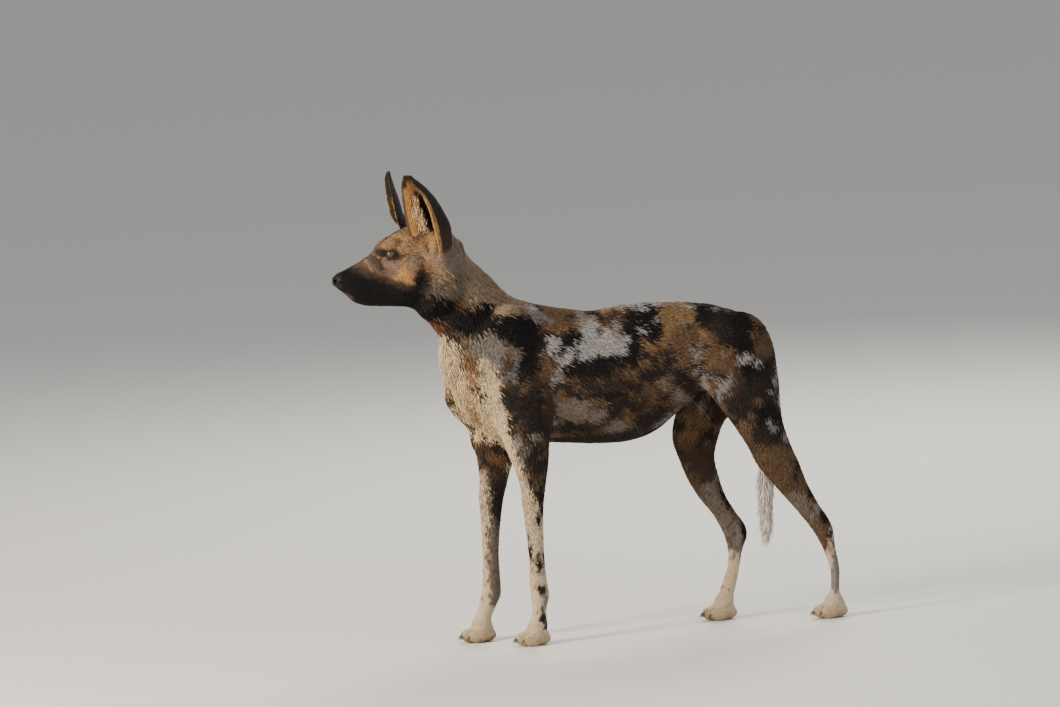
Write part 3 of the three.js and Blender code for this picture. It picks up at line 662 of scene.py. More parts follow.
def surface_net(grid, axes):
    """Quads between the cells that the surface crosses. A cell's point is the mean of its crossings."""
    cells = np.array(grid.shape) - 1
    total = np.zeros((*cells, 3), np.float32)
    count = np.zeros(cells, np.int16)
    crossed = []
    for axis in range(3):
        a, b = [slice(None)] * 3, [slice(None)] * 3
        a[axis], b[axis] = slice(0, -1), slice(1, None)
        here, there = grid[tuple(a)], grid[tuple(b)]
        crossing = (here < 0) != (there < 0)
        index = np.argwhere(crossing)
        share = here[crossing] / (here[crossing] - there[crossing])
        place = np.stack([axes[k][index[:, k]] for k in range(3)], 1)
        stop = axes[axis][index[:, axis] + 1]
        place[:, axis] += share * (stop - place[:, axis])
        one, two = (axis + 1) % 3, (axis + 2) % 3
        for cell in cells_beside(index, one, two, EDGE_CELLS):
            keep = np.all((cell >= 0) & (cell < cells), axis=1)
            np.add.at(total, tuple(cell[keep].T), place[keep])
            np.add.at(count, tuple(cell[keep].T), 1)
        crossed.append((one, two, index, here[crossing] < 0))
    used = np.argwhere(count > 0)
    number = np.full(count.shape, -1)
    number[tuple(used.T)] = np.arange(len(used))
    points = total[tuple(used.T)] / count[tuple(used.T)][:, None]
    quads = []
    for one, two, index, leaving in crossed:
        inner = (index[:, one] > 0) & (index[:, two] > 0)
        inner &= (index[:, one] < cells[one]) & (index[:, two] < cells[two])
        index, leaving = index[inner], leaving[inner]
        quad = np.stack([number[tuple(cell.T)] for cell in cells_beside(index, one, two, ROUND_EDGE)], 1)
        quad[~leaving] = quad[~leaving, ::-1]
        quads.append(quad)
    return points.astype(float), np.concatenate(quads)


# Where each point lies on the body: planes as a place and a normal, and where each part fades out

HEAD_PLANE = ((-100, 0, 870), (0.862, 0, -0.507))
NECK_PLANE = ((-79, 0, 656), (0.607, 0, -0.795))
HEAD_FADE, NECK_FADE = (-30, 12), (-45, 45)
FRONT_LEG_FADE, HIND_LEG_FADE = (380, 500), (400, 560)
FRONT_SHANK_FADE, HIND_SHANK_FADE = (335, 365), (350, 385)
TAIL_FADE = (520, 600)
EAR_SIDE_FADE, EAR_FOOT_FADE = (3.0, 6.0), (802, 822)
# How much nearer than the trunk a limb has to be for a point to belong to it
LIMB_LEAD = 4
# The way the hair lies on breast, thigh and leg
BREAST_LIE, THIGH_LIE, LEG_LIE = (0.45, 0, -0.9), (0.5, 0, -0.85), unit((0.12, 0, -1))


def beyond(points, plane):
    place, normal = plane
    return (points - np.array(place)) @ unit(normal)


def limb_of(points):
    """The number of the limb that each point belongs to, or -1 for the trunk, neck and head."""
    start = np.full(len(points), FAR_AWAY)
    best = blend_in(start, CORE, points) - LIMB_LEAD
    number = np.full(len(points), -1)
    for i, (masses, muscles) in enumerate(zip(LIMBS, MUSCLE_COUNTS)):
        value = blend_in(start, masses[muscles:], points)
        closer = value < best
        best = np.where(closer, value, best)
        number = np.where(closer, i, number)
    return number


class Places:
    """Points of the skin with their normals, and the share of each part of the body there, from 0 to 1."""

    def __init__(self, points, normals):
        self.points, self.normals = points, normals
        self.x, self.y, self.z = points.T
        self.side = np.where(self.y < 0, LEFT, RIGHT)
        self.limb = limb_of(points)
        self.head = 1 - ramp(beyond(points, HEAD_PLANE), *HEAD_FADE)
        self.trunk = ramp(beyond(points, NECK_PLANE), *NECK_FADE)
        self.neck = (1 - self.head) * (1 - self.trunk)
        self.leg = np.maximum(self.low_on(FRONT_LEGS, FRONT_LEG_FADE), self.low_on(HIND_LEGS, HIND_LEG_FADE))
        self.shank = np.maximum(self.low_on(FRONT_LEGS, FRONT_SHANK_FADE),
                                self.low_on(HIND_LEGS, HIND_SHANK_FADE))
        self.tail = self.low_on(TAIL_LIMB, TAIL_FADE)
        self.ear, self.ear_t, self.ear_inside = np.zeros((3, len(points)))
        for side in (LEFT, RIGHT):
            self.find_ear(side)

    def low_on(self, limbs, fade):
        return np.isin(self.limb, limbs) * (1 - ramp(self.z, *fade))

    def find_ear(self, side):
        """The share of one ear, the place t across its sheet, and the share of the inside of its cup."""
        near = np.flatnonzero(ear_box(self.points, side))
        if not len(near):
            return
        p = self.points[near]
        distance, t = ear_place(p, side)
        on = (1 - ramp(distance, *EAR_SIDE_FADE)) * ramp(p[:, 2], *EAR_FOOT_FADE)
        (ix, iy), (bx, by), (ox, oy) = (ear_curve(p[:, 2], place, side) for place in (0.0, 0.5, 1.0))
        opening = np.stack([(ix + ox) / 2 - bx, side * ((iy + oy) / 2 - by)], 1)
        facing = (opening * self.normals[near][:, :2]).sum(1)
        self.ear[near] = on
        self.ear_t[near] = t
        self.ear_inside[near] = on * (facing > 0)


def along_skin(offset, normals):
    """The part of an offset that stays in the plane of the skin."""
    return offset - (offset * normals).sum(1)[:, None] * normals


def lie_of_coat(at):
    """The direction in which the hair lies, along the skin."""
    x, y, z, side = at.x, at.y, at.z, at.side
    one = np.ones_like(x)
    jaw = ramp(-z, -800, -740)
    head = np.stack([one, 0.35 * side * ramp(x, -300, -220), 0.45 - 1.1 * jaw], 1)
    muzzle = np.stack([one, 0.1 * side, 0.12 - 0.3 * jaw], 1)
    head = lay(head, 1 - ramp(x, -310, -260), muzzle)
    slope = 0.2 + 0.55 * ramp(x, -60, 60) * (1 - ramp(x, 230, 330))
    trunk = np.stack([one, 0 * one, -slope], 1)
    trunk = lay(trunk, 1 - ramp(x, -70, 10), BREAST_LIE)
    trunk = lay(trunk, ramp(x, 380, 470) * (1 - ramp(z, 560, 640)), THIGH_LIE)
    lie = head * at.head[:, None] + NECK_AXIS * at.neck[:, None] + trunk * at.trunk[:, None]
    tail = np.stack([0 * one, 0.12 * y / 15, -one], 1)
    ear = np.stack([0 * one, 0.15 * side, one], 1)
    lie = layered(lie, (at.leg, LEG_LIE), (at.tail, tail), (at.ear, ear))
    return normalised(along_skin(lie, at.normals))


# Markings

WAVES = 14


def ripple(points, wavelength, seed, stretch=(1, 1, 1)):
    """A smooth random field about 0, mostly within 1 either way, with features of half a wavelength or so."""
    rng = np.random.default_rng(seed)
    directions = rng.normal(size=(WAVES, 3))
    directions /= np.linalg.norm(directions, axis=1)[:, None]
    lengths = wavelength * rng.uniform(0.6, 1.5, WAVES)
    phases = rng.uniform(0, 2 * math.pi, WAVES)
    waves = (points / np.array(stretch)) @ (directions * (2 * math.pi / lengths)[:, None]).T + phases
    return np.sin(waves).sum(1) / math.sqrt(WAVES / 2)


def srgb(red, green, blue):
    """A colour seen as 0 to 255, as linear light."""
    value = np.array([red, green, blue]) / 255
    return np.where(value < 0.04045, value / 12.92, ((value + 0.055) / 1.055) ** 2.4)


BLACK = srgb(22, 19, 19)
SOOT = srgb(40, 33, 29)
DARK_BROWN = srgb(62, 48, 38)
BROWN = srgb(94, 72, 52)
TAN = srgb(126, 97, 68)
OCHRE = srgb(152, 115, 77)
FAWN = srgb(136, 115, 94)
GREY_FAWN = srgb(112, 99, 88)
SAND = srgb(168, 134, 97)
GOLD = srgb(176, 132, 80)
CREAM = srgb(214, 191, 154)
# White fur, greyed as in shade: partly its own colour, partly painted shade
SHADED_WHITE = srgb(152, 147, 145)
PALE_GREY = srgb(122, 114, 108)
BRUSH_WHITE = srgb(222, 214, 204)
LEG_WHITE = srgb(196, 176, 146)
GREY_PINK = srgb(110, 90, 80)
DUSTY = srgb(74, 62, 57)
RUFOUS = srgb(104, 70, 52)
FACE_BLACK = srgb(13, 11, 11)
RUFF_GREY = srgb(158, 141, 122)
CHIN_BROWN = srgb(92, 68, 58)
NOSE_BLACK = srgb(24, 22, 23)

# Patches on the near side by colour, in the order in which they are laid. Each is an ellipse seen from the
# side: x, z, half length, half height and, where it slants, its tilt in degrees, front end down
Patch = namedtuple("Patch", "x z half_length half_height tilt", defaults=(0,))
TRUNK_PATCHES = [
    (BLACK, [(10, 640, 55, 34, 12), (45, 605, 40, 42)]),
    (BROWN, [(75, 662, 44, 24, 12), (98, 676, 36, 12, 8)]),
    (BLACK, [(112, 600, 34, 40, 20), (128, 565, 62, 24, 10), (190, 575, 48, 17, 5),
             (166, 662, 20, 13)]),
    (DARK_BROWN, [(205, 650, 30, 18, 8)]),
    (TAN, [(190, 664, 14, 7)]),
    (BLACK, [(225, 605, 22, 44, -10)]),
    (BROWN, [(228, 655, 15, 14)]),
    (BLACK, [(268, 640, 44, 36, 10)]),
    (TAN, [(335, 640, 42, 40)]),
    (BROWN, [(345, 590, 34, 34)]),
    (SHADED_WHITE, [(172, 606, 44, 24, -6), (134, 594, 24, 16, 10), (146, 632, 17, 26, 24)]),
    (PALE_GREY, [(133, 655, 9, 9)]),
    (SHADED_WHITE, [(209, 588, 10, 17)]),
    (PALE_GREY, [(204, 636, 8, 15)]),
    (SHADED_WHITE, [(253, 672, 44, 6), (262, 617, 15, 4.5, 55), (250, 632, 6, 4, 30)]),
    (PALE_GREY, [(291, 637, 9, 6)]),
    (SHADED_WHITE, [(36, 682, 10, 16, -10)]),
    (PALE_GREY, [(50, 668, 15, 5, 35)]),
    (SHADED_WHITE, [(65, 612, 11, 21, 38), (88, 580, 9, 19, 50)]),
    (PALE_GREY, [(62, 535, 9, 26, 30), (62, 470, 5.5, 48, -6)]),
    (GREY_FAWN, [(108, 472, 38, 26, 8), (148, 462, 26, 16)]),
    (BLACK, [(180, 500, 46, 7, 5)]),
    (SOOT, [(120, 437, 60, 8), (185, 470, 14, 28)]),
    (GREY_FAWN, [(190, 432, 18, 16)]),
    (SOOT, [(150, 408, 90, 9), (265, 440, 34, 18, -25), (305, 556, 11, 12), (340, 510, 15, 36, -38),
            (368, 545, 8, 40, -8)]),
    (PALE_GREY, [(381, 535, 4.5, 34, -5), (341, 472, 4.5, 46, -52), (290, 427, 24, 4, -34),
                 (366, 550, 3, 26, -20), (392, 518, 18, 6, 10)]),
]
RUMP_PATCHES = [
    (BLACK, [(405, 640, 36, 34, 12)]),
    (SOOT, [(425, 605, 34, 26, 20)]),
    (BLACK, [(462, 625, 28, 24, 40), (460, 585, 30, 20, 20), (478, 525, 44, 36, 10)]),
    (SOOT, [(505, 495, 34, 36, 20)]),
    (BLACK, [(455, 545, 26, 8)]),
    (BROWN, [(424, 540, 20, 34), (398, 560, 18, 40)]),
    (DARK_BROWN, [(440, 500, 24, 30)]),
    (BROWN, [(520, 585, 24, 46, 32), (537, 515, 8, 66, 12)]),
    (SHADED_WHITE, [(397, 668, 46, 5, 4)]),
    (PALE_GREY, [(430, 655, 13, 5, 20)]),
    (SHADED_WHITE, [(466, 551, 25, 6.5, 8), (543, 540, 5.5, 22, 10)]),
    (PALE_GREY, [(414, 495, 8, 34, 28)]),
    (SOOT, [(470, 455, 42, 34, 20)]),
    (BLACK, [(505, 430, 34, 30, 30)]),
    (BROWN, [(492, 462, 14, 9, 20), (474, 432, 15, 8, 30), (458, 405, 26, 20, 30)]),
    (SOOT, [(500, 392, 30, 18, 20)]),
    (SHADED_WHITE, [(523, 487, 4, 9, 10), (533, 455, 4.5, 14, 15)]),
    (PALE_GREY, [(514, 408, 12, 6, 50), (536, 378, 6, 14, 30)]),
]
SHOULDER_PATCHES = [
    (CREAM, [(-140, 578, 30, 66, -14), (-118, 520, 30, 90, -14), (-92, 470, 26, 60, -20)]),
    (PALE_GREY, [(-68, 606, 32, 42)]),
    (CREAM, [(-72, 545, 22, 50, -8), (-66, 486, 22, 50, -20), (-50, 425, 16, 46, -32),
             (-24, 372, 9, 32, -22)]),
    # A tan spot and sandy streaks down the cream chest: painted shade of a fold
    (TAN, [(-106, 588, 14, 26)]),
    (SAND, [(-104, 545, 7, 24, -10), (-98, 480, 6, 30, -20)]),
    (PALE_GREY, [(-27, 577, 25, 30)]),
    (BROWN, [(-35, 584, 12, 14)]),
    (PALE_GREY, [(-12, 545, 10, 14)]),
    (BLACK, [(10, 565, 24, 40)]),
    (SOOT, [(-12, 505, 28, 34)]),
    (DARK_BROWN, [(30, 540, 22, 24)]),
    (SOOT, [(22, 500, 34, 26, 20)]),
    (BROWN, [(2, 520, 9, 12), (40, 505, 8, 18), (45, 560, 12, 26)]),
    (SOOT, [(20, 445, 34, 30)]),
    (DARK_BROWN, [(50, 470, 10, 44), (-8, 470, 12, 12)]),
    (PALE_GREY, [(6, 432, 14, 6), (-16, 402, 9, 26, -12)]),
    (SOOT, [(20, 385, 24, 30)]),
    (BROWN, [(30, 405, 8, 14)]),
]
NECK_PATCHES = [
    (GREY_FAWN, [(-128, 815, 22, 50, 30)]),
    (FAWN, [(-60, 735, 46, 40, 40), (-10, 700, 30, 26, 40)]),
    (GREY_FAWN, [(-134, 768, 26, 24)]),
    (SAND, [(-152, 778, 5, 26, -30)]),
    (BROWN, [(-122, 712, 24, 15, -5)]),
    (BLACK, [(-196, 705, 40, 30, 15), (-160, 700, 40, 30, 15), (-146, 686, 26, 26),
             (-90, 672, 46, 32, 8), (-72, 700, 20, 16, 30), (-30, 655, 62, 20, 12)]),
    (RUFOUS, [(-166, 652, 34, 28, -20)]),
    (DARK_BROWN, [(-134, 640, 18, 26, -30)]),
    (SAND, [(-168, 634, 10, 16, -30)]),
]

# The edge below which the face is black, from the nose back
FACE_EDGE = [(-370, 830), (-333, 806), (-317, 794), (-295, 784), (-276, 781), (-256, 773), (-240, 762),
             (-214, 756), (-208, 782), (-196, 790), (-184, 776), (-176, 750), (-160, 734), (-140, 722)]
# Patches of the face: as on the trunk, then the colour and how strongly it covers
FACE_PATCHES = [
    (-291, 799, 4, 14, -20, SAND, 0.5),
    (-300, 786, 10, 9, 0, DARK_BROWN, 0.8),
    (-252, 795, 24, 16, 12, GREY_PINK, 0.9),
    (-258, 782, 20, 8, 12, DUSTY, 0.7),
    (-275, 801, 9, 23, -26, SOOT, 0.95),
    (-264, 820, 16, 11, 14, FACE_BLACK, 0.9),
    (-246, 816, 21, 14, 12, FACE_BLACK, 0.9),
    (-222, 803, 8, 3, -30, SOOT, 0.6),
    (-338, 733, 15, 9, 32, CHIN_BROWN, 0.65),
    (-212, 798, 22, 14, 0, FAWN, 0.65),
    (-228, 776, 11, 20, -12, GOLD, 0.95),
    (-282, 800, 12, 16, -20, DUSTY, 0.6),
    (-190, 852, 15, 12, 0, DARK_BROWN, 0.6),
    (-208, 812, 13, 16, 0, FAWN, 0.5),
    (-176, 812, 12, 22, 0, FAWN, 0.7),
    (-146, 768, 22, 46, -20, RUFF_GREY, 0.7),
    (-172, 780, 5, 36, -16, SAND, 0.85),
    (-158, 744, 5, 20, -38, SAND, 0.85),
]
DUSTY_MUZZLE_END = (-304, -256)
# How an edge fades, as a ratio on the face and in millimetres on the body, and how ragged it is
MARK_FADE = (0.55, 1.2)
PATCH_FADE = 2.5
RAGGED = 6
# The far side has the body's patches moved along
FAR_SIDE_SHIFT = -22.0


def ellipse(at, patch, wobble):
    """Less than 1 inside a slanted ellipse seen from the side, with a ragged edge."""
    c, s = math.cos(math.radians(patch.tilt)), math.sin(math.radians(patch.tilt))
    u = (at[0] - patch.x) * c - (at[1] - patch.z) * s
    v = (at[0] - patch.x) * s + (at[1] - patch.z) * c
    ratio = np.sqrt((u / patch.half_length) ** 2 + (v / patch.half_height) ** 2)
    return ratio + wobble * RAGGED / min(patch.half_length, patch.half_height)


def patches(colour, at, table, wobble, shift=0.0):
    """The colour with a table's patches laid over it, moved towards -X by the shift."""
    for shade, places in table:
        for patch in (Patch(*place) for place in places):
            d = ellipse((at.x + shift, at.z), patch, wobble)
            soft = PATCH_FADE / min(patch.half_length, patch.half_height)
            colour = lay(colour, 1 - ramp(d, 1 - soft, 1 + soft), shade)
    return colour


def body_colour(at):
    """Neck, trunk and upper limbs: tan mottled with brown, under the patches."""
    p = at.points
    fine = ripple(p, 13, 5, (1.8, 1, 1))
    broad = ripple(p, 46, 6)
    middle = ripple(p, 27, 7, (1.4, 1, 1))
    wobble = 0.45 * fine + 0.45 * middle
    low_ribs = ramp(-at.z, -600, -540)
    thigh = ramp(at.x, 400, 430) * ramp(-at.z, -600, -560)
    mottle = middle * 0.75 + fine * 0.35 + 0.55 * low_ribs + 0.55 * thigh - 0.2
    on_neck = 1 - ramp(beyond(p, NECK_PLANE), 10, 45)
    colour = layered(
        TAN,
        (ramp(middle, 0.1, 0.7) * 0.7, BROWN),
        (low_ribs * 0.85, BROWN),
        (ramp(mottle, 0.2, 0.6), DARK_BROWN),
        (ramp(mottle, 0.75, 1.1), SOOT),
        (on_neck, lay(FAWN, ramp(-at.x, 60, 130), GREY_FAWN)),
    )
    shift = FAR_SIDE_SHIFT * ramp(at.y, -10, 25) + 6 * broad * ramp(at.y, -5, 25)
    for table in (NECK_PATCHES, TRUNK_PATCHES, RUMP_PATCHES, SHOULDER_PATCHES):
        colour = patches(colour, at, table, wobble, shift)
    belly = ramp(-np.abs(at.y), -34, -12) * ramp(-at.z, -520, -440) * ramp(at.x, -20, 40)
    return lay(colour, belly * 0.8, SOOT)


def head_colour(at):
    """The head: ochre flecked with brown, black below the edge of the face, and a dark line on the crown."""
    p = at.points
    fine = ripple(p, 9, 15, (1.6, 1, 1))
    wobble = 0.5 * fine
    under = np.interp(at.x, *np.array(FACE_EDGE, float).T) - at.z + 3.0 * wobble
    colour = layered(
        OCHRE,
        (ramp(at.z, 815, 850) * (1 - ramp(at.x, -230, -200)) * 0.5, SAND),
        (ramp(fine, -0.2, 0.9) * 0.5, GREY_FAWN),
        (ramp(ripple(p, 5, 16, (2.2, 1, 1)), 0.5, 1.1) * 0.45, DARK_BROWN),
        ((1 - ramp(at.x, *DUSTY_MUZZLE_END)) * 0.85, DUSTY),
        (ramp(under, -9, 5) * 0.9, SOOT),
        (ramp(under, 4, 20), FACE_BLACK),
    )
    on_side = ramp(np.abs(at.y), 4, 11)
    for *place, shade, strength in FACE_PATCHES:
        cover = 1 - ramp(ellipse((at.x, at.z), Patch(*place), 0.3 * wobble), *MARK_FADE)
        colour = lay(colour, cover * strength * on_side, shade)
    crown_line = (1 - ramp(np.abs(at.y), 2.5, 6.5)) * (1 - ramp(at.x, -200, -180)) * ramp(at.z, 795, 805)
    return lay(colour, crown_line * 0.85, SOOT)


def ear_colour(at):
    """The ears: a sooty back, and a golden inside with a dark hollow, pale fringes and a dark tip and rim,
    with painted shade on the faces turned to the midline.
    """
    p, t, z = at.points, at.ear_t, at.z
    fine = ripple(p, 10, 25, (1, 1, 2))
    high_up = ramp(z + 6 * fine, 916, 938)
    hollow = ramp(t, 0.13, 0.16) * (1 - ramp(t, 0.9, 0.95)) * (1 - ramp(z + 6 * fine, 926, 946))
    fringe = (1 - ramp(np.abs(t - 0.105 + 0.01 * fine), 0.025, 0.045)) * (at.side == LEFT)
    tip = ramp(z + 14 * (np.abs(t - 0.5) > 0.42), 956, 968)
    inner = layered(
        GOLD,
        (high_up * ramp(t, 0.07, 0.16) * 0.6, DARK_BROWN),
        (hollow, BLACK),
        (fringe * (1 - ramp(z + 8 * fine, 892, 924)), CREAM),
        (tip * 0.9, SOOT),
        ((1 - ramp(t, 0.008, 0.022)) * 0.8, SOOT),
    )
    hem = ramp(t, 0.94, 0.965) * (1 - ramp(z, 930, 950))
    back = layered(
        SOOT,
        (ramp(fine, 0.2, 1.0) * 0.4, DARK_BROWN),
        (ramp(-z, -880, -850) * 0.5, DARK_BROWN),
        (hem * (1 - 0.5 * ramp(fine, 0, 1)), GOLD),
    )
    colour = np.where(at.ear_inside[:, None] > 0.5, inner, back)
    # Painted shade: soot on the faces that turn to the midline, above the ear's foot
    shade_to_midline = ramp(-at.normals[:, 1] * at.side, 0.1, 0.45) * ramp(z, 846, 872)
    return lay(colour, shade_to_midline * 0.9, SOOT)


# Patches of each leg, as on the trunk, and the colour under them
FRONT_LEFT_PATCHES = [
    (SOOT, [(24, 345, 28, 45)]),
    (BLACK, [(30, 300, 13, 26), (14, 312, 7, 8)]),
    (BROWN, [(20, 345, 8, 12), (12, 328, 5, 7), (34, 322, 5, 9)]),
    (BLACK, [(16, 266, 5, 15)]),
    (SOOT, [(29, 282, 7, 16)]),
    (BLACK, [(-6, 191, 4, 21), (12, 170, 8, 17)]),
    (SOOT, [(24, 178, 4, 10), (16, 112, 10, 11)]),
    (PALE_GREY, [(20, 88, 8, 14)]),
    (SOOT, [(16, 52, 8, 19, -15)]),
]
# The far foreleg: grey-fawn with dark brown and sooty patches at its top, partly its coat and partly painted
# shade on its inner side, and white down its front
FRONT_RIGHT_PATCHES = [
    (DARK_BROWN, [(-45, 392, 60, 56), (-34, 330, 20, 40)]),
    (SOOT, [(-36, 287, 16, 40)]),
    (LEG_WHITE, [(-72, 330, 11, 60), (-68, 275, 10, 60), (-73, 200, 9, 60), (-76, 130, 9, 60),
                 (-95, 44, 46, 40)]),
]
HIND_LEFT_PATCHES = [
    (SOOT, [(470, 385, 60, 40, 20)]),
    (PALE_GREY, [(540, 380, 8, 16, 30)]),
    (BROWN, [(500, 350, 40, 34, 40)]),
    (SOOT, [(567, 328, 7, 46, 22)]),
    (GREY_FAWN, [(562, 243, 30, 28, 30)]),
    (BLACK, [(591, 268, 9, 13, 20), (622, 216, 14, 22, 15)]),
    (PALE_GREY, [(600, 222, 7, 20, 20)]),
    (SOOT, [(630, 168, 11, 22, 10)]),
    (PALE_GREY, [(636, 96, 22, 44, 8)]),
    (LEG_WHITE, [(622, 120, 7, 44, 8), (620, 20, 50, 34)]),
]
HIND_RIGHT_PATCHES = [
    (SOOT, [(390, 395, 80, 60)]),
    (DARK_BROWN, [(390, 330, 40, 44, -10)]),
    (BROWN, [(372, 300, 9, 40, -25)]),
    (BLACK, [(440, 250, 6, 30, -22), (482, 176, 13, 34, -14)]),
    (PALE_GREY, [(463, 170, 5, 22)]),
    (LEG_WHITE, [(450, 96, 30, 42, -10), (430, 30, 50, 34)]),
]
LEG_PATCHES = (FRONT_LEFT_PATCHES, FRONT_RIGHT_PATCHES, HIND_LEFT_PATCHES, HIND_RIGHT_PATCHES)
# The far foreleg's grey-fawn base is partly painted shade
LEG_BASES = (LEG_WHITE, GREY_FAWN, BROWN, GREY_FAWN)
TAIL_ROOT_PATCH = Patch(545, 562, 8, 22, 15)
NOSE_END = -343.0
NOSE_FADE, NOSE_RISE = (NOSE_END - 4, NOSE_END + 1), (752, 757)


def leg_colour(at):
    """The lower legs: each its own colour and patches, with dark flecks above the feet and sandy toes."""
    p = at.points
    fine = ripple(p, 11, 35, (1, 1, 1.6))
    colour = np.tile(SHADED_WHITE, (len(p), 1))
    for number, (table, base) in enumerate(zip(LEG_PATCHES, LEG_BASES)):
        tinted = patches(np.tile(base, (len(p), 1)), at, table, 0.45 * fine)
        colour = np.where((at.limb == number)[:, None], tinted, colour)
    flecks = ramp(fine, 0.75, 1.2) * ramp(at.z, 60, 140)
    toes = 1 - ramp(at.z, 8, 30)
    return layered(colour, (flecks * 0.55, SOOT), (toes * 0.45, SAND))


def tail_colour(at):
    """The tail: brown, then sooty, then the pale brush, with a white patch at its root."""
    fine = ripple(at.points, 12, 45, (1, 1, 2))
    z = at.z + 7 * fine
    root_patch = 1 - ramp(ellipse((at.x, at.z), TAIL_ROOT_PATCH, 0.4 * fine), 0.7, 1.1)
    return layered(
        BROWN,
        (1 - ramp(z, 488, 510), SOOT),
        (1 - ramp(z, 350, 372), BRUSH_WHITE),
        (root_patch, SHADED_WHITE),
    )


def nose_share(points):
    """1 on the bare leather of the nose."""
    x, y, z = points.T
    return (1 - ramp(x + 0.25 * np.abs(y), *NOSE_FADE)) * ramp(z, *NOSE_RISE)


def colour_of(at):
    return layered(
        body_colour(at),
        (at.head, head_colour(at)),
        (at.shank, leg_colour(at)),
        (at.tail, tail_colour(at)),
        (at.ear, ear_colour(at)),
        (nose_share(at.points), NOSE_BLACK),
    )


# Meshes

UV_NAME = "OFBake"
UNWRAP_ANGLE = math.radians(72)
UNWRAP_MARGIN = 0.001


def new_mesh(name, points, faces):
    """A smooth object from points in body millimetres and lists of faces of as many corners each."""
    mesh = bpy.data.meshes.new(name)
    sizes = np.concatenate([np.full(len(f), f.shape[1]) for f in faces])
    corners = np.concatenate([f.reshape(-1) for f in faces])
    mesh.vertices.add(len(points))
    mesh.vertices.foreach_set("co", to_frame(points).astype(np.float32).reshape(-1))
    mesh.loops.add(len(corners))
    mesh.loops.foreach_set("vertex_index", corners.astype(np.int32))
    mesh.polygons.add(len(sizes))
    mesh.polygons.foreach_set("loop_start", (np.cumsum(sizes) - sizes).astype(np.int32))
    mesh.update(calc_edges=True)
    mesh.polygons.foreach_set("use_smooth", np.ones(len(sizes), bool))
    obj = bpy.data.objects.new(name, mesh)
    bpy.context.scene.collection.objects.link(obj)
    return obj


def set_colours(obj, name, colours):
    attribute = obj.data.attributes.new(name, "FLOAT_COLOR", "POINT")
    rgba = np.ones((len(colours), 4), np.float32)
    rgba[:, :3] = colours
    attribute.data.foreach_set("color", rgba.reshape(-1))


def set_values(obj, name, values):
    attribute = obj.data.attributes.new(name, "FLOAT", "POINT")
    attribute.data.foreach_set("value", np.asarray(values, np.float32))


def across_quads(points, quads):
    """Each quad's normal, as long as twice its area."""
    a, b, c, d = (points[quads[:, k]] for k in range(4))
    return np.cross(c - a, d - b)


def point_normals(points, quads):
    across = across_quads(points, quads)
    total = np.zeros_like(points)
    for k in range(4):
        np.add.at(total, quads[:, k], across)
    return normalised(total)


def ring_quads(rings, sides, closed=False):
    """Quads from each ring of points to the next, and from the last to the first where it is closed."""
    corner = np.arange(rings * sides).reshape(rings, sides)
    beside = np.roll(corner, -1, axis=1)
    quads = np.stack([corner, np.roll(corner, -1, axis=0), np.roll(beside, -1, axis=0), beside], -1)
    return quads[:rings if closed else rings - 1].reshape(-1, 4)


def weld(obj):
    """Joins the points that lie together, and turns the faces outwards."""
    work = bmesh.new()
    work.from_mesh(obj.data)
    bmesh.ops.remove_doubles(work, verts=work.verts, dist=1e-6)
    bmesh.ops.dissolve_degenerate(work, dist=1e-7, edges=work.edges)
    bmesh.ops.recalc_face_normals(work, faces=work.faces)
    work.to_mesh(obj.data)
    work.free()
    obj.data.update()


def unwrap(obj):
    """An unwrap of the skin's own shape, in islands that keep their proportions."""
    bpy.context.view_layer.objects.active = obj
    obj.select_set(True)
    obj.data.uv_layers.new(name=UV_NAME)
    bpy.ops.object.mode_set(mode="EDIT")
    bpy.ops.mesh.select_all(action="SELECT")
    bpy.ops.uv.smart_project(angle_limit=UNWRAP_ANGLE, island_margin=UNWRAP_MARGIN)
    bpy.ops.object.mode_set(mode="OBJECT")
    obj.select_set(False)


def build_skin():
    axes = [grid_places(zones) for zones in (GRID_X, GRID_Y, GRID_Z)]
    points, quads = surface_net(sampled_grid(axes), axes)
    at = Places(points, point_normals(points, quads))
    obj = new_mesh("skin", points, [quads])
    set_colours(obj, "hue", colour_of(at))
    set_values(obj, "nose", nose_share(points))
    unwrap(obj)
    return obj, quads, at


# Coat: solid tufts, each two rings of three corners and a tip, with its corners' places along it and on its
# small patch of the unwrap

TUFT_CORNERS = 7
TUFT_QUADS = ((0, 1, 4, 3), (1, 2, 5, 4), (2, 0, 3, 5))
TUFT_TRIANGLES = ((3, 4, 6), (4, 5, 6), (5, 3, 6), (0, 2, 1))
TUFT_ALONG = (0, 0, 0, 0.5, 0.5, 0.5, 1.0)
TUFT_PATCH = ((0, 0), (1, 0), (0.5, 0.3), (0, 0.6), (1, 0.6), (0.5, 0.7), (0.5, 1))
TUFT_UV = 0.003
ROOT_WIDTH, TUFT_THICKNESS = 0.8, 0.7
# How tufts vary: their turn about the root in radians, and factors of length, width and lift
TURN_SPREAD = 0.16
LENGTHS, WIDTHS, LIFTS = (0.7, 1.25), (0.8, 1.2), (0.5, 1.6)
# How much of the lift is left in the outer half, and how deep roots sink into the skin
TIP_LIFT = 0.15
SINK = 0.7
FLOOR_CLEARANCE = 0.1
# How far a tuft's colour may stray from its root's, in lengths of the tuft
STRAY, STRAY_ON_HEAD = 0.32, 0.14
COAT_SEED = 11
QUICK_SPACING, BARE_SPACING, LEAST_SPACING = 2.2, 60.0, 0.5
# Where trunk pieces divide, and how high each leg's piece reaches
COAT_SPLIT = 200.0
LEG_COAT_TOPS = (470, 470, 500, 500)
# The opening without tufts before each eye: its half width and height, and the reach of the test
EYE_OPENING, EYE_REACH = (14.0, 10.5), 20
Tuft = namedtuple("Tuft", "length width spacing lift")
Roots = namedtuple("Roots", "points normals lie colours uv length width lift")


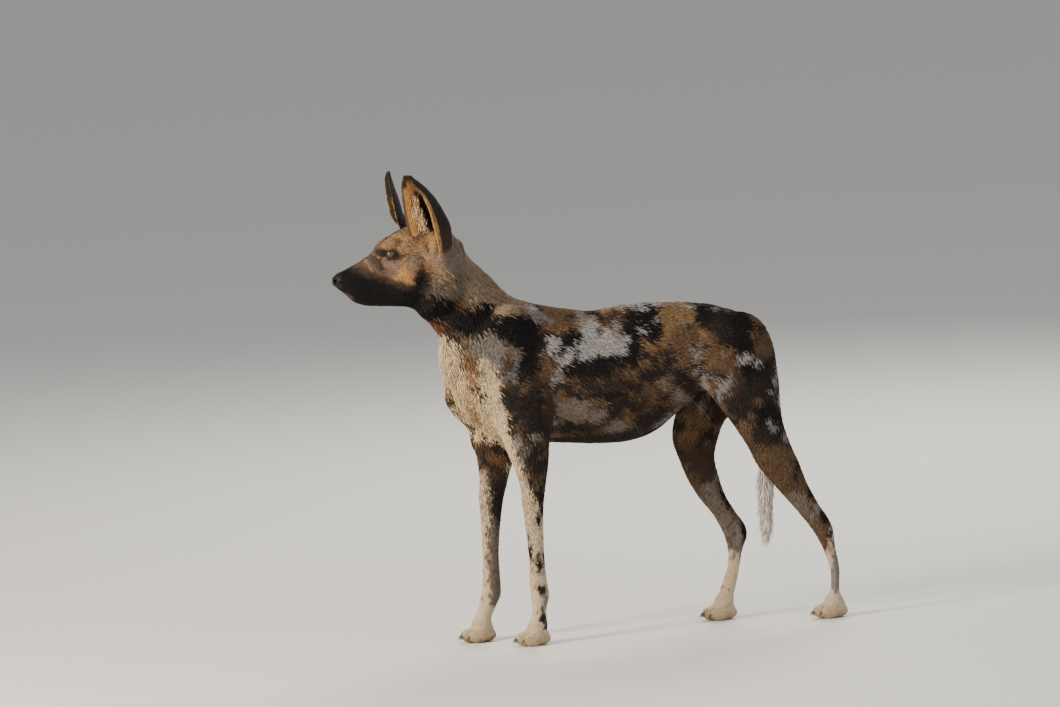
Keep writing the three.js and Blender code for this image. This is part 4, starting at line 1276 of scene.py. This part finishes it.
def tuft_sizes(at):
    """Length, width and spacing of the tufts at each place, in millimetres, and their lift, in degrees."""
    x, z = at.x, at.z
    breast = 1 - ramp(x, -110, -60)
    nape = ramp(z, 760, 800)
    back = ramp(x, -330, -160)
    ruff = ramp(-z, -800, -740) * ramp(x, -176, -140)
    trunk = Tuft(length=13 + 7 * breast, width=2.0, spacing=2.75, lift=8 + 7 * breast)
    neck = Tuft(length=22 - 9 * nape, width=2.1, spacing=2.6, lift=11 - 6 * nape)
    head = Tuft(length=3.5 + 7.5 * back + 14 * ruff, width=0.9 + 0.7 * back + 0.5 * ruff,
                spacing=1.65 + 0.45 * back + 0.3 * ruff, lift=7 + 2 * back + 8 * ruff)
    parts = ((at.trunk, trunk), (at.neck, neck), (at.head, head))
    total = sum(share for share, _ in parts)
    sizes = [sum(share * part[k] for share, part in parts) / total for k in range(len(Tuft._fields))]
    low = 1 - ramp(z, 60, 330)
    brush = 1 - ramp(z, 300, 400)
    tip = ramp(z, 930, 965)
    fringe = at.ear_inside * (1 - ramp(np.abs(at.ear_t - 0.11), 0.05, 0.1)) * (1 - ramp(z, 910, 935))
    leg = Tuft(length=11 - 5.5 * low, width=2.0 - 0.8 * low, spacing=2.85 - 0.8 * low, lift=8)
    tail = Tuft(length=18 + 22 * brush, width=2.2 + 0.2 * brush, spacing=2.8 - 0.8 * brush,
                lift=10 + 2 * brush)
    ear = Tuft(length=5 - 2.5 * tip + 11 * fringe, width=1.2 + 0.3 * fringe, spacing=2.05,
               lift=6 - 2 * tip + 22 * fringe)
    for share, part in ((at.leg, leg), (at.tail, tail), (at.ear, ear)):
        sizes = [under * (1 - share) + over * share for under, over in zip(sizes, part)]
    return Tuft(*sizes)


def bare(at):
    """Places without tufts: the nose, the soles, the lips' edge and the opening of each eye."""
    off = nose_share(at.points) > 0.3
    off |= at.z < 2.5
    off |= (at.z < 9) & (at.normals[:, 2] < -0.5)
    for side in (LEFT, RIGHT):
        q = at.points - eye_centre(side)
        gaze, level, up = eye_axes(side)
        ratio = (q @ level / EYE_OPENING[0]) ** 2 + (q @ up / EYE_OPENING[1]) ** 2
        off |= (ratio < 1) & (q @ gaze > 0) & (np.abs(q).max(1) < EYE_REACH)
    return off


def scatter(points, quads, spacing):
    """Random roots, with the spacing that each corner asks for: their quads and the shares of its corners."""
    rng = np.random.default_rng(COAT_SEED)
    area = np.linalg.norm(across_quads(points, quads), axis=1) / 2
    wanted = area / np.maximum(spacing[quads].mean(1), LEAST_SPACING) ** 2
    count = np.floor(wanted + rng.random(len(quads))).astype(int)
    face = np.repeat(np.arange(len(quads)), count)
    u, v = rng.random((2, len(face)))
    share = np.stack([(1 - u) * (1 - v), u * (1 - v), u * v, (1 - u) * v], 1)
    return face, share, rng


def blended(corners, share):
    """Values within quads, from the values at their four corners."""
    return (corners * share[..., None]).sum(1)


def swung(along, towards, angle):
    """Directions swung by an angle each towards others at right angles to them."""
    return along * np.cos(angle)[:, None] + towards * np.sin(angle)[:, None]


def build_tufts(name, roots, rng):
    """A joined mesh of closed, bent and tapered tufts."""
    count = len(roots.points)
    n = roots.normals
    lie = swung(roots.lie, np.cross(n, roots.lie), rng.normal(0, TURN_SPREAD, count))
    side = np.cross(n, lie)
    length = roots.length * rng.uniform(*LENGTHS, count)
    width = roots.width * rng.uniform(*WIDTHS, count)
    lift = np.radians(roots.lift * rng.uniform(*LIFTS, count))
    step = (length * 0.5)[:, None]
    root = roots.points - n * SINK
    middle = root + swung(lie, n, lift) * step
    tip = middle + swung(lie, n, lift * TIP_LIFT) * step
    corners = []
    for centre, share in ((root, ROOT_WIDTH), (middle, 1.0)):
        half = (width * share / 2)[:, None]
        corners += [centre - side * half, centre + side * half, centre + n * half * TUFT_THICKNESS]
    corners = np.stack(corners + [tip], 1)
    corners[..., 2] = np.maximum(corners[..., 2], FLOOR_CLEARANCE)
    first = np.arange(count)[:, None] * TUFT_CORNERS
    quads = np.concatenate([first + np.array(face) for face in TUFT_QUADS])
    triangles = np.concatenate([first + np.array(face) for face in TUFT_TRIANGLES])
    obj = new_mesh(name, corners.reshape(-1, 3), [quads, triangles])
    set_colours(obj, "hue", np.repeat(roots.colours, TUFT_CORNERS, axis=0))
    set_values(obj, "along", np.tile(TUFT_ALONG, count))
    set_values(obj, "tone", np.repeat(rng.random(count), TUFT_CORNERS))
    place = roots.uv[:, None, :] + (np.array(TUFT_PATCH) - 0.5) * TUFT_UV
    index = np.empty(len(obj.data.loops), np.int32)
    obj.data.loops.foreach_get("vertex_index", index)
    layer = obj.data.uv_layers.new(name=UV_NAME)
    layer.data.foreach_set("uv", place.reshape(-1, 2)[index].astype(np.float32).reshape(-1))
    return obj


def coat_pieces(at):
    """Name, slot and roots of each coat piece, in order. A root belongs to the first piece that has it."""
    on_ear = at.ear > 0.5
    pieces = [
        ("coat_head", "coat_head", (at.head > 0.5) & ~on_ear),
        ("coat_ears", "coat_ear", on_ear),
        ("coat_neck", "coat_neck", at.neck > 0.5),
    ]
    for number, (leg, top) in enumerate(zip(FEET, LEG_COAT_TOPS)):
        pieces.append((f"coat_leg_{leg}", "coat_leg", (at.limb == number) & (at.z < top)))
    pieces.append(("coat_tail", "coat_tail", at.limb == TAIL_LIMB))
    chest = at.x < COAT_SPLIT
    for area, within in (("chest", chest), ("rump", ~chest)):
        for side, side_name in SIDE_NAMES.items():
            pieces.append((f"coat_{area}_{side_name}", "coat_trunk", within & (at.side == side)))
    return pieces


def build_coat(skin, quads, at):
    """Tufts scattered over the skin, in pieces, each with its slot."""
    spacing = tuft_sizes(at).spacing * 1.0
    face, share, rng = scatter(at.points, quads, np.where(bare(at), BARE_SPACING, spacing))
    points = blended(at.points[quads[face]], share)
    normals = normalised(blended(at.normals[quads[face]], share))
    places = Places(points, normals)
    sizes = tuft_sizes(places)
    reach = sizes.length * np.where(np.maximum(places.head, places.ear) > 0.5, STRAY_ON_HEAD, STRAY)
    stray = rng.normal(size=points.shape) * reach[:, None]
    colours = colour_of(Places(points + along_skin(stray, normals), normals))
    corner_uv = np.empty(len(skin.data.loops) * 2, np.float32)
    skin.data.uv_layers[UV_NAME].data.foreach_get("uv", corner_uv)
    uv = blended(corner_uv.reshape(-1, 4, 2)[face], share)
    roots = Roots(points, normals, lie_of_coat(places), colours, uv, sizes.length, sizes.width, sizes.lift)
    free = ~bare(places)
    built = []
    for name, slot, within in coat_pieces(places):
        mine = np.flatnonzero(free & within)
        free &= ~within
        built.append((build_tufts(name, Roots(*(field[mine] for field in roots)), rng), slot))
    return built


# Materials

NOISE_RANGE = (0.3, 0.7)


class Shading:
    """A new material, with short ways to add the nodes that feed its Principled shader."""

    def __init__(self, name):
        self.material = bpy.data.materials.new(name)
        self.material.use_nodes = True
        self.tree = self.material.node_tree

    def feed(self, node, inputs):
        """Links a node's inputs to other nodes' outputs, or sets them to plain values."""
        for name, value in inputs.items():
            if isinstance(value, bpy.types.NodeSocket):
                self.tree.links.new(value, node.inputs[name])
            else:
                node.inputs[name].default_value = value

    def add(self, kind, output, inputs, **settings):
        """An output of a new node."""
        node = self.tree.nodes.new("ShaderNode" + kind)
        for name, value in settings.items():
            setattr(node, name, value)
        self.feed(node, inputs)
        return node.outputs[output]

    def finish(self, inputs):
        self.feed(self.tree.nodes["Principled BSDF"], inputs)
        return self.material

    def noise(self, scale, detail=3.0):
        place = self.add("TexCoord", "Object", {})
        return self.add("TexNoise", "Fac", {"Vector": place, "Scale": scale, "Detail": detail})

    def spread(self, source, ends, low, high):
        """A factor that goes from low to high while the source goes from one end to the other."""
        inputs = {"Value": source, "From Min": ends[0], "From Max": ends[1], "To Min": low, "To Max": high}
        return self.add("MapRange", "Result", inputs)

    def mottled(self, scale, low, high):
        return self.spread(self.noise(scale), NOISE_RANGE, low, high)

    def attribute(self, name, output):
        return self.add("Attribute", output, {}, attribute_name=name)

    def graded(self, name, low, high):
        return self.spread(self.attribute(name, "Fac"), (0, 1), low, high)

    def scaled_hue(self, *factors):
        """The colour of each point times one or more factors."""
        factor = factors[0]
        for other in factors[1:]:
            factor = self.add("Math", 0, {0: factor, 1: other}, operation="MULTIPLY")
        return self.scaled(self.attribute("hue", "Color"), factor)

    def scaled(self, colour, factor):
        return self.add("VectorMath", "Vector", {0: colour, "Scale": factor}, operation="SCALE")

    def bump(self, scale, depth, strength):
        height = self.noise(scale, 2.0)
        return self.add("Bump", "Normal", {"Height": height, "Distance": depth, "Strength": strength})


def skin_material():
    """Short hair close to the skin: the marking's colour, mottled finely, and the leather of the nose."""
    shading = Shading("skin_under_fur")
    return shading.finish({
        "Base Color": shading.scaled_hue(shading.mottled(900, 0.62, 1.0), shading.mottled(90, 0.85, 1.05)),
        "Roughness": shading.graded("nose", 0.85, 0.5),
        "Specular IOR Level": 0.14,
        "Normal": shading.bump(1400, 0.0006, 0.6),
    })


def coat_material():
    """Hair: darker at the root and paler at the tip, each tuft a little different."""
    shading = Shading("fur")
    along, tone = shading.graded("along", 0.7, 1.18), shading.graded("tone", 0.74, 1.2)
    return shading.finish({
        "Base Color": shading.scaled_hue(along, tone, shading.mottled(700, 0.9, 1.08)),
        "Roughness": 0.66,
        "Specular IOR Level": 0.16,
    })


def eye_material():
    """The wet eyeball, with the colours of its points."""
    shading = Shading("wet_eye")
    return shading.finish({
        "Base Color": shading.attribute("hue", "Color"),
        "Roughness": 0.12,
        "Coat Weight": 0.5,
        "Coat Roughness": 0.06,
    })


def leather_material():
    """Dark bare skin with a fine grain."""
    shading = Shading("dark_bare_skin")
    return shading.finish({
        "Base Color": (*srgb(30, 25, 24), 1),
        "Roughness": 0.42,
        "Normal": shading.bump(1500, 0.0003, 1.0),
    })


def claw_material():
    """Horn with fine streaks."""
    shading = Shading("claw_horn")
    horn = shading.add("RGB", 0, {})
    horn.default_value = (*srgb(62, 54, 48), 1)
    return shading.finish({
        "Base Color": shading.scaled(horn, shading.mottled(260, 0.6, 1.3)),
        "Roughness": 0.38,
    })


# Eyes, in angles from the gaze in radians

EYE_RINGS, EYE_SIDES = 40, 48
PUPIL_ANGLE, IRIS_ANGLE, IRIS_EDGE_ANGLE = 0.2, 0.56, 0.63
CORNEA_ANGLE, CORNEA_RISE = 0.62, 0.9
PUPIL, IRIS, IRIS_EDGE, EYE_WHITE = srgb(8, 7, 8), srgb(62, 36, 20), srgb(20, 14, 12), srgb(58, 42, 38)
LID_SIDES = 64
# Each row of the lids: how far past the opening it lies, and how far off the eyeball, in millimetres
LID_ROWS = ((0.0, -0.6), (0.0, 0.3), (0.5, 0.9), (1.5, 1.5), (3.0, 1.9), (4.6, 1.2), (5.4, -0.6))


def eye_colour(angle, turn):
    if angle < PUPIL_ANGLE:
        return PUPIL
    if angle < IRIS_ANGLE:
        inner = 1 - (angle - PUPIL_ANGLE) / (IRIS_ANGLE - PUPIL_ANGLE)
        fibre = 0.5 + 0.5 * math.sin(turn * 19) * math.sin(turn * 7 + 1)
        return IRIS * (0.55 + 0.7 * inner + 0.35 * fibre)
    return IRIS_EDGE if angle < IRIS_EDGE_ANGLE else EYE_WHITE


def turns(sides):
    """The angles of points evenly spaced round a ring."""
    return [2 * math.pi * k / sides for k in range(sides)]


def build_eye(side):
    """The eyeball with its cornea, in rings about the gaze."""
    gaze, level, up = eye_axes(side)
    points, colours = [], []
    for r in range(EYE_RINGS + 1):
        angle = math.pi * r / EYE_RINGS
        radius = EYE_RADIUS + CORNEA_RISE * max(0.0, 1 - (angle / CORNEA_ANGLE) ** 2)
        for turn in turns(EYE_SIDES):
            out = gaze * math.cos(angle) + (level * math.cos(turn) + up * math.sin(turn)) * math.sin(angle)
            points.append(eye_centre(side) + out * radius)
            colours.append(eye_colour(angle, turn))
    obj = new_mesh(f"eyeball_{SIDE_NAMES[side]}", np.array(points), [ring_quads(EYE_RINGS + 1, EYE_SIDES)])
    set_colours(obj, "hue", np.array(colours))
    weld(obj)
    return obj


def build_lids(side):
    """The bare rims of the eyelids, as a closed ring that hugs the eyeball and dips under the skin."""
    gaze, level, up = eye_axes(side)
    width, height = APERTURE
    points = []
    for past, rise in LID_ROWS:
        for turn in turns(LID_SIDES):
            u = math.cos(turn)
            upper = math.sin(turn) > 0
            tall = height if upper else height * LOWER_LID
            room = (1 - u * u) ** LID_ROUNDNESS[0 if upper else 1]
            v = math.copysign(tall * room, math.sin(turn)) + math.sin(turn) * past
            flat = level * (u * (width + past) / EYE_RADIUS) + up * (v / EYE_RADIUS)
            out = flat + gaze * math.sqrt(max(1 - flat @ flat, 0.02))
            points.append(eye_centre(side) + unit(out) * (EYE_RADIUS + rise))
    quads = ring_quads(len(LID_ROWS), LID_SIDES, closed=True)
    obj = new_mesh(f"lids_{SIDE_NAMES[side]}", np.array(points), [quads])
    weld(obj)
    return obj


# Claws

CLAW_LENGTH, CLAW_RADIUS, CLAW_DROP = 17.0, 3.4, math.radians(26)
CLAW_RINGS, CLAW_SIDES = 12, 14
# Where a claw starts behind its toe's middle, its height there, how narrow it is and how it tapers
CLAW_BEHIND, CLAW_HEIGHT = 11, 16.0
CLAW_NARROW, CLAW_TAPER, CLAW_TIP = 0.75, 1.6, 0.05


def claw_points(foot, toe):
    x, y, width = foot
    ahead, aside = toe
    root = np.array([x + ahead - CLAW_BEHIND, y + aside * width, CLAW_HEIGHT])
    points = []
    for i in range(CLAW_RINGS + 1):
        t = i / CLAW_RINGS
        angle = CLAW_DROP * (0.4 + t)
        centre = root + np.array([-math.cos(angle), 0, -math.sin(angle)]) * CLAW_LENGTH * t
        radius = max(CLAW_RADIUS * (1 - t ** CLAW_TAPER), CLAW_TIP)
        for turn in turns(CLAW_SIDES):
            lifted = math.sin(turn) * radius
            sideways = math.cos(turn) * radius * CLAW_NARROW
            points.append(centre + np.array([-math.sin(angle) * lifted, sideways, math.cos(angle) * lifted]))
    return points


def build_claws(name):
    """The four claws of a foot, as rings with a cap at each end."""
    points, faces, caps = [], [], []
    ring = np.arange(CLAW_SIDES)
    for toe in TOES:
        start = len(points)
        points += claw_points(FEET[name], toe)
        faces.append(start + ring_quads(CLAW_RINGS + 1, CLAW_SIDES))
        caps += [start + ring, start + CLAW_RINGS * CLAW_SIDES + ring[::-1]]
    obj = new_mesh(f"claws_{name}", np.array(points), [np.concatenate(faces), np.array(caps)])
    weld(obj)
    return obj


# The setting

VIEW_TURN, VIEW_RISE, VIEW_ROLL = math.radians(13), math.radians(6), math.radians(3.5)
PIXELS_PER_MM = 0.49
IMAGE_WIDTH, IMAGE_HEIGHT = 1060, 707
GROUND_PIXEL = (530.0, 641.0)
CAMERA_DISTANCE, CAMERA_REACH = 18.0, 200
SENSOR = 36.0
# Name, place, width, power and colour of each light
LIGHTS = (
    ("key", (-4.4, -1.5, 2.2), 1.5, 420, (1.0, 0.88, 0.72)),
    ("fill", (2.2, -4.6, 2.6), 3.4, 110, (0.92, 0.96, 1.0)),
    ("rim", (1.8, 3.2, 3.2), 2.4, 170, (1.0, 0.96, 0.9)),
)
LIGHT_TARGET = (0, 0, 0.5)
SKY_COLOUR, SKY_STRENGTH = (0.86, 0.89, 0.93, 1), 0.5
FLOOR_HALF, FLOOR_DROP = 80.0, 0.0005
FLOOR_COLOUR, FLOOR_ROUGHNESS = (0.72, 0.7, 0.66, 1), 0.8


def build_camera():
    """The photo's view: from the dog's left, a little ahead and above, rolled to its sloping ground."""
    right = np.array([math.cos(VIEW_TURN), -math.sin(VIEW_TURN), 0])
    away = np.array([math.sin(VIEW_TURN), math.cos(VIEW_TURN), 0])
    up = math.sin(VIEW_RISE) * away + np.array([0, 0, math.cos(VIEW_RISE)])
    c, s = math.cos(VIEW_ROLL), math.sin(VIEW_ROLL)
    right, up = right * c - up * s, right * s + up * c
    back = np.cross(right, up)
    rise = (GROUND_PIXEL[1] - IMAGE_HEIGHT / 2) / PIXELS_PER_MM
    shift_right = (IMAGE_WIDTH / 2 - GROUND_PIXEL[0]) / PIXELS_PER_MM
    target = to_frame(right * shift_right + up * rise)
    data = bpy.data.cameras.new("camera")
    data.sensor_width = SENSOR
    data.lens = SENSOR * CAMERA_DISTANCE / (IMAGE_WIDTH / PIXELS_PER_MM * MM)
    data.clip_end = CAMERA_REACH
    camera = bpy.data.objects.new("camera", data)
    turn = Matrix((right, up, back)).transposed().to_4x4()
    camera.matrix_world = Matrix.Translation(Vector(target + back * CAMERA_DISTANCE)) @ turn
    bpy.context.scene.collection.objects.link(camera)
    bpy.context.scene.camera = camera


def build_lights():
    for name, place, size, power, colour in LIGHTS:
        data = bpy.data.lights.new(name, "AREA")
        data.shape = "DISK"
        data.size = size
        data.energy = power
        data.color = colour
        light = bpy.data.objects.new(name, data)
        aim = Vector(LIGHT_TARGET) - Vector(place)
        light.matrix_world = Matrix.Translation(place) @ aim.to_track_quat("-Z", "Y").to_matrix().to_4x4()
        bpy.context.scene.collection.objects.link(light)
    world = bpy.data.worlds.new("studio")
    world.use_nodes = True
    background = world.node_tree.nodes["Background"]
    background.inputs["Color"].default_value = SKY_COLOUR
    background.inputs["Strength"].default_value = SKY_STRENGTH
    bpy.context.scene.world = world


def build_floor():
    corners = [(x * FLOOR_HALF, y * FLOOR_HALF, -FLOOR_DROP) for x, y in ((-1, -1), (1, -1), (1, 1), (-1, 1))]
    mesh = bpy.data.meshes.new("floor")
    mesh.from_pydata(corners, [], [(0, 1, 2, 3)])
    floor = bpy.data.objects.new("floor", mesh)
    bpy.context.scene.collection.objects.link(floor)
    shading = Shading("pale_floor")
    mesh.materials.append(shading.finish({"Base Color": FLOOR_COLOUR, "Roughness": FLOOR_ROUGHNESS}))


# Assembly

def finish_piece(obj, material, slot, *nodes):
    obj.data.materials.clear()
    obj.data.materials.append(material)
    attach(obj, "root")
    if nodes:
        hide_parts(*nodes)


def flesh_nodes():
    return [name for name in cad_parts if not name.startswith(("eye_", "claw_"))]


def main():
    build_camera()
    build_lights()
    build_floor()
    skin, quads, at = build_skin()
    finish_piece(skin, skin_material(), "coat_trunk", *flesh_nodes())
    fur = coat_material()
    for piece, slot in build_coat(skin, quads, at):
        finish_piece(piece, fur, slot)
    wet, leather, horn = eye_material(), leather_material(), claw_material()
    for side, name in SIDE_NAMES.items():
        finish_piece(build_eye(side), wet, "eye", f"eye_{name}")
        finish_piece(build_lids(side), leather, "coat_head")
    for name in FEET:
        finish_piece(build_claws(name), horn, "claw", *(f"claw_{name}_{i}" for i in range(1, 5)))


main()
